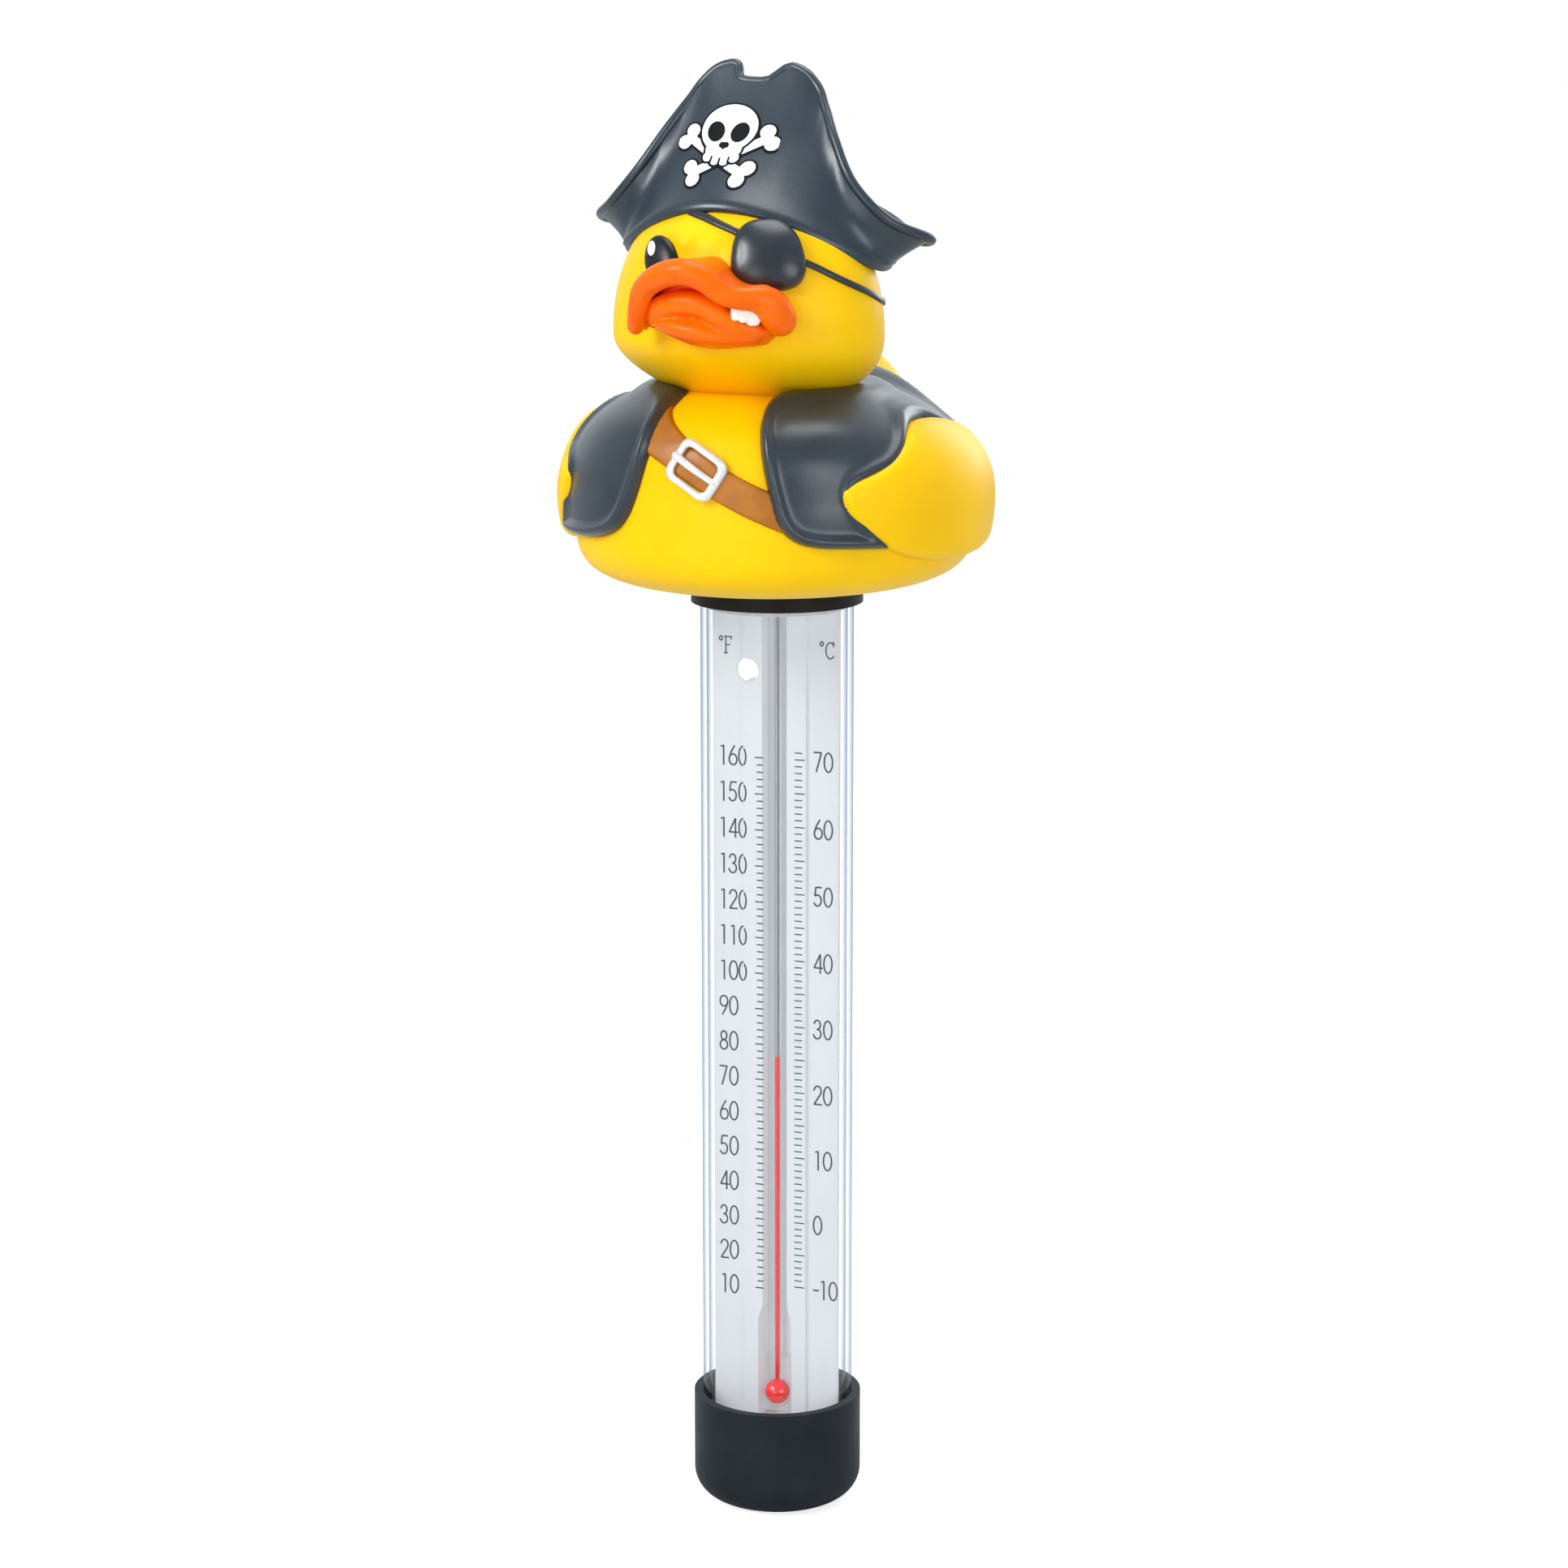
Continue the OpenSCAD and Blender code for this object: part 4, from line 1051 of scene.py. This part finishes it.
# Strokes of each character in a cell one unit high, and the widths of the cells
STROKES = {
    "0": [arc(0.28, 0.5, 0.25, 0.47, 0, 360, 32)],
    "1": [[(0.17, 0.93), (0.31, 0.97), (0.31, 0.03)]],
    "2": [arc(0.27, 0.72, 0.22, 0.25, 170, -35) + [(0.06, 0.03), (0.5, 0.03)]],
    "3": [arc(0.24, 0.74, 0.19, 0.23, 165, -85), arc(0.24, 0.27, 0.23, 0.24, 85, -165)],
    "4": [[(0.42, 0.03), (0.42, 0.97), (0.04, 0.27), (0.54, 0.27)]],
    "5": [[(0.46, 0.97), (0.14, 0.97), (0.08, 0.55)] + arc(0.24, 0.31, 0.23, 0.28, 125, -150)],
    "6": [arc(0.28, 0.3, 0.24, 0.27, 0, 360, 28), [(0.36, 0.97), (0.16, 0.66), (0.05, 0.38)]],
    "7": [[(0.04, 0.97), (0.46, 0.97), (0.16, 0.03)]],
    "8": [arc(0.27, 0.74, 0.18, 0.22, 0, 360, 28), arc(0.27, 0.27, 0.23, 0.24, 0, 360, 28)],
    "9": [arc(0.28, 0.7, 0.24, 0.27, 0, 360, 28), [(0.2, 0.03), (0.4, 0.34), (0.51, 0.62)]],
    "-": [[(0.06, 0.46), (0.32, 0.46)]],
    "o": [arc(0.14, 0.86, 0.11, 0.12, 0, 360, 20)],
    "F": [[(0.1, 0.02), (0.1, 0.96)], [(0.02, 0.96), (0.5, 0.96), (0.5, 0.84)],
          [(0.1, 0.5), (0.36, 0.5)], [(0.02, 0.03), (0.2, 0.03)]],
    "C": [arc(0.36, 0.49, 0.31, 0.46, 48, 318, 30), [(0.585, 0.97), (0.585, 0.74)]],
}
DIGIT_CELL, OTHER_CELLS = 0.61, {"-": 0.37, "o": 0.38, "F": 0.56, "C": 0.66}
NARROW = 0.84
PRINT_RISE, PRINT_SINK = 0.05, 0.02


def ribbon(points, width):
    """A thin flat stroke of constant width along points in the card's plane."""
    p = np.asarray(points, float)
    closed = np.allclose(p[0], p[-1])
    d = np.gradient(p, axis=0)
    if closed:
        d[0] = d[-1] = p[1] - p[-2]
    d /= np.maximum(np.linalg.norm(d, axis=1), 1e-9)[:, None]
    side = np.stack([-d[:, 1], d[:, 0]], -1) * width / 2
    if not closed:
        p = np.vstack([p[0] - d[0] * width / 2, p[1:-1], p[-1] + d[-1] * width / 2])
    left, right = p + side, p - side
    front = np.where(np.abs(p[:, 0]) < BAND_W, BAND_FRONT, CARD_FRONT)
    rings = [[(a[0], y - PRINT_RISE, a[1]), (b[0], y - PRINT_RISE, b[1]),
              (b[0], y + PRINT_SINK, b[1]), (a[0], y + PRINT_SINK, a[1])]
             for a, b, y in zip(left, right, front)]
    last = 4 * len(rings) - 4
    faces = ring_faces(len(rings), 4)
    if not closed:
        faces += [(3, 2, 1, 0), (last, last + 1, last + 2, last + 3)]
    return np.array(rings).reshape(-1, 3), faces


def written(text, x, z, height, width=0.26):
    """Characters from x to the right, centred on height z."""
    parts = []
    for ch in text:
        for stroke in STROKES[ch]:
            points = [(x + NARROW * a * height, z + (b - 0.5) * height) for a, b in stroke]
            dense = []
            for p, q in zip(points[:-1], points[1:]):
                dense += [np.add(p, np.subtract(q, p) * k) for k in (0, 0.06, 0.94)]
            dense.append(np.array(points[-1]))
            parts.append(ribbon(dense, width))
        x += NARROW * OTHER_CELLS.get(ch, DIGIT_CELL) * height
    return parts


def tick(x0, x1, z, thick):
    """A level line across the card."""
    return ribbon([(x0, z), ((x0 + x1) / 2, z), (x1, z)], thick)


F_LOW, F_HIGH = (10, 36.1), (160, 126.9)
C_LOW, C_HIGH = (-10, 36.9), (70, 126.95)
F_STEP = (F_HIGH[1] - F_LOW[1]) / (F_HIGH[0] - F_LOW[0])
C_STEP = (C_HIGH[1] - C_LOW[1]) / (C_HIGH[0] - C_LOW[0])
DIGIT_H, UNIT_H = 3.35, 2.9
F_TICK_IN, F_TICK_OUT, F_TICK_LONG, F_TEXT = -2.05, -2.95, -3.28, -9.88
C_TICK_IN, C_TICK_OUT, C_TICK_LONG, C_TEXT = 3.6, 4.72, 5.13, 6.6


def printed_scale():
    """Both scales, their numbers and their units, turned with the stem."""
    parts = []
    for f in range(F_LOW[0], F_HIGH[0] + 1, 2):
        z = F_LOW[1] + (f - F_LOW[0]) * F_STEP
        parts.append(tick(F_TICK_LONG if f % 10 == 0 else F_TICK_OUT, F_TICK_IN, z, 0.2))
        if f % 10 == 0:
            parts += written(str(f), F_TEXT, z, DIGIT_H)
    for c in range(C_LOW[0], C_HIGH[0] + 2):
        z = C_LOW[1] + (c - C_LOW[0]) * C_STEP
        parts.append(tick(C_TICK_IN, C_TICK_LONG if c % 5 == 0 else C_TICK_OUT, z, 0.18))
        if c % 10 == 0:
            parts += written(str(c), C_TEXT, z - 0.25, DIGIT_H)
    parts += written("oF", -9.75, 145.25, UNIT_H, 0.2)
    parts += written("oC", 7.6, 145.2, UNIT_H, 0.2)
    v, f = joined(parts)
    return v @ rotation(0, STEM_TURN).T, f


make("printed_scale", printed_scale(), scale_ink, body="stem", smooth=False)


# ---------- pale strip behind the glass rod's bore ----------

STRIP_HALF, STRIP_BACK, STRIP_THIN, STRIP_INSET = 0.4, 0.5, 0.03, 0.6


def bore_backing():
    """A thin strip inside the rod, from just above its bulb to just below its top."""
    bulb_top = glass_low[2] + glass_high[0] - glass_low[0]
    a = even_turn(40)
    oval_ring = np.stack([STRIP_HALF * np.cos(a), STRIP_BACK + STRIP_THIN * np.sin(a), 0 * a], -1)
    oval_ring = oval_ring @ rotation(0, STEM_TURN).T
    heights = np.linspace(bulb_top + STRIP_INSET, glass_high[2] - STRIP_INSET, 40)
    return loft([oval_ring + [0, 0, z] for z in heights])


make("bore_backing", bore_backing(), enamel, body="stem")


# ---------- red column --------------------------------------

def red_column():
    """The red column, a round rod over the height of the CAD liquid column."""
    r = (column_high[0] - column_low[0]) / 2
    rings = [circle_at(r, z, 20) for z in np.linspace(column_low[2], column_high[2], 80)]
    piece = make("red_column", loft(rings), red, ["liquid_column"], body=None)
    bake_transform(piece)


red_column()


# ---------- floor, lights and camera ----------

FLOOR_GLOW = 0.74


def stage():
    """A plain white floor that looks lit from within like a light table."""
    mesh = bpy.data.meshes.new("floor")
    mesh.from_pydata([(-6, -6, 0), (6, -6, 0), (6, 9, 0), (-6, 9, 0)], [], [(0, 1, 2, 3)])
    floor = linked("floor", mesh)
    finish = material("floor_white", (0.54, 0.55, 0.56), (0.56, 0.57, 0.58), rough=(0.7, 0.8), scale=3,
                      Emission_Color=(1, 1, 1, 1))
    tree = finish.node_tree
    seen = add(tree, "LightPath", output="Is Camera Ray")
    glow = add(tree, "Math", {0: seen, 1: FLOOR_GLOW}, operation="MULTIPLY")
    feed(tree, tree.nodes["Principled BSDF"], {"Emission Strength": glow})
    mesh.materials.append(finish)


def area(name, place, aim, size, power, colour=(1, 1, 1)):
    """A square light at a place, turned to a point."""
    light = bpy.data.lights.new(name, "AREA")
    light.energy, light.color, light.size = power, colour, size
    ob = linked(name, light)
    ob.location = place
    ob.rotation_euler = (Vector(aim) - Vector(place)).to_track_quat("-Z", "Y").to_euler()


stage()
area("key", (-0.5, -0.8, 0.75), (0, 0, 0.19), 0.4, 7.4)
area("fill", (0.95, -0.6, 0.35), (0, 0, 0.13), 0.5, 3.0, (0.93, 0.96, 1.0))
area("low_front", (-0.1, -1.0, 0.12), (0, 0, 0.15), 0.6, 2.3, (0.96, 0.98, 1.0))
area("overhead", (0.05, 0.1, 1.0), (0, 0, 0.19), 0.5, 3.4)
area("behind", (0.25, 0.85, 0.45), (0, 0, 0.18), 0.5, 2.2, (0.95, 0.98, 1.0))


def studio_world():
    """A white surround to look at, dimmer and cooler as a light."""
    world = bpy.data.worlds.new("studio")
    world.use_nodes = True
    tree = world.node_tree
    seen = tree.nodes["Background"]
    feed(tree, seen, {"Color": (1, 1, 1, 1)})
    place = add(tree, "TexCoord", output="Generated")
    strength = {"From Min": 0.1, "From Max": 0.9, "To Min": 0.6, "To Max": 1.1,
                "Value": add(tree, "SeparateXYZ", {"Vector": place}, "Y")}
    lit = add(tree, "Background", {"Color": (0.88, 0.94, 1.0, 1),
                                   "Strength": add(tree, "MapRange", strength)})
    mix = add(tree, "MixShader", {"Fac": add(tree, "LightPath", output="Is Camera Ray"), 1: lit,
                                  2: seen.outputs["Background"]})
    feed(tree, tree.nodes["World Output"], {"Surface": mix})
    return world


bpy.context.scene.world = studio_world()
bpy.context.scene.view_settings.view_transform = "Standard"

AZIMUTH, PITCH = math.radians(22.0), math.radians(11.5)
DISTANCE, EYE_HEIGHT, ASIDE = 0.632, 0.251, 0.00112
right = Vector((math.cos(AZIMUTH), math.sin(AZIMUTH), 0))
ahead = Vector((-math.sin(AZIMUTH), math.cos(AZIMUTH), 0))
camera_data = bpy.data.cameras.new("camera")
camera_data.sensor_width = 36
camera_data.lens = 90.37
camera_data.clip_start = 0.01
camera = linked("camera", camera_data)
camera.location = -ahead * DISTANCE + right * ASIDE + Vector((0, 0, EYE_HEIGHT))
look = ahead * math.cos(PITCH) - Vector((0, 0, math.sin(PITCH)))
camera.rotation_euler = look.to_track_quat("-Z", "Y").to_euler()
bpy.context.scene.camera = camera
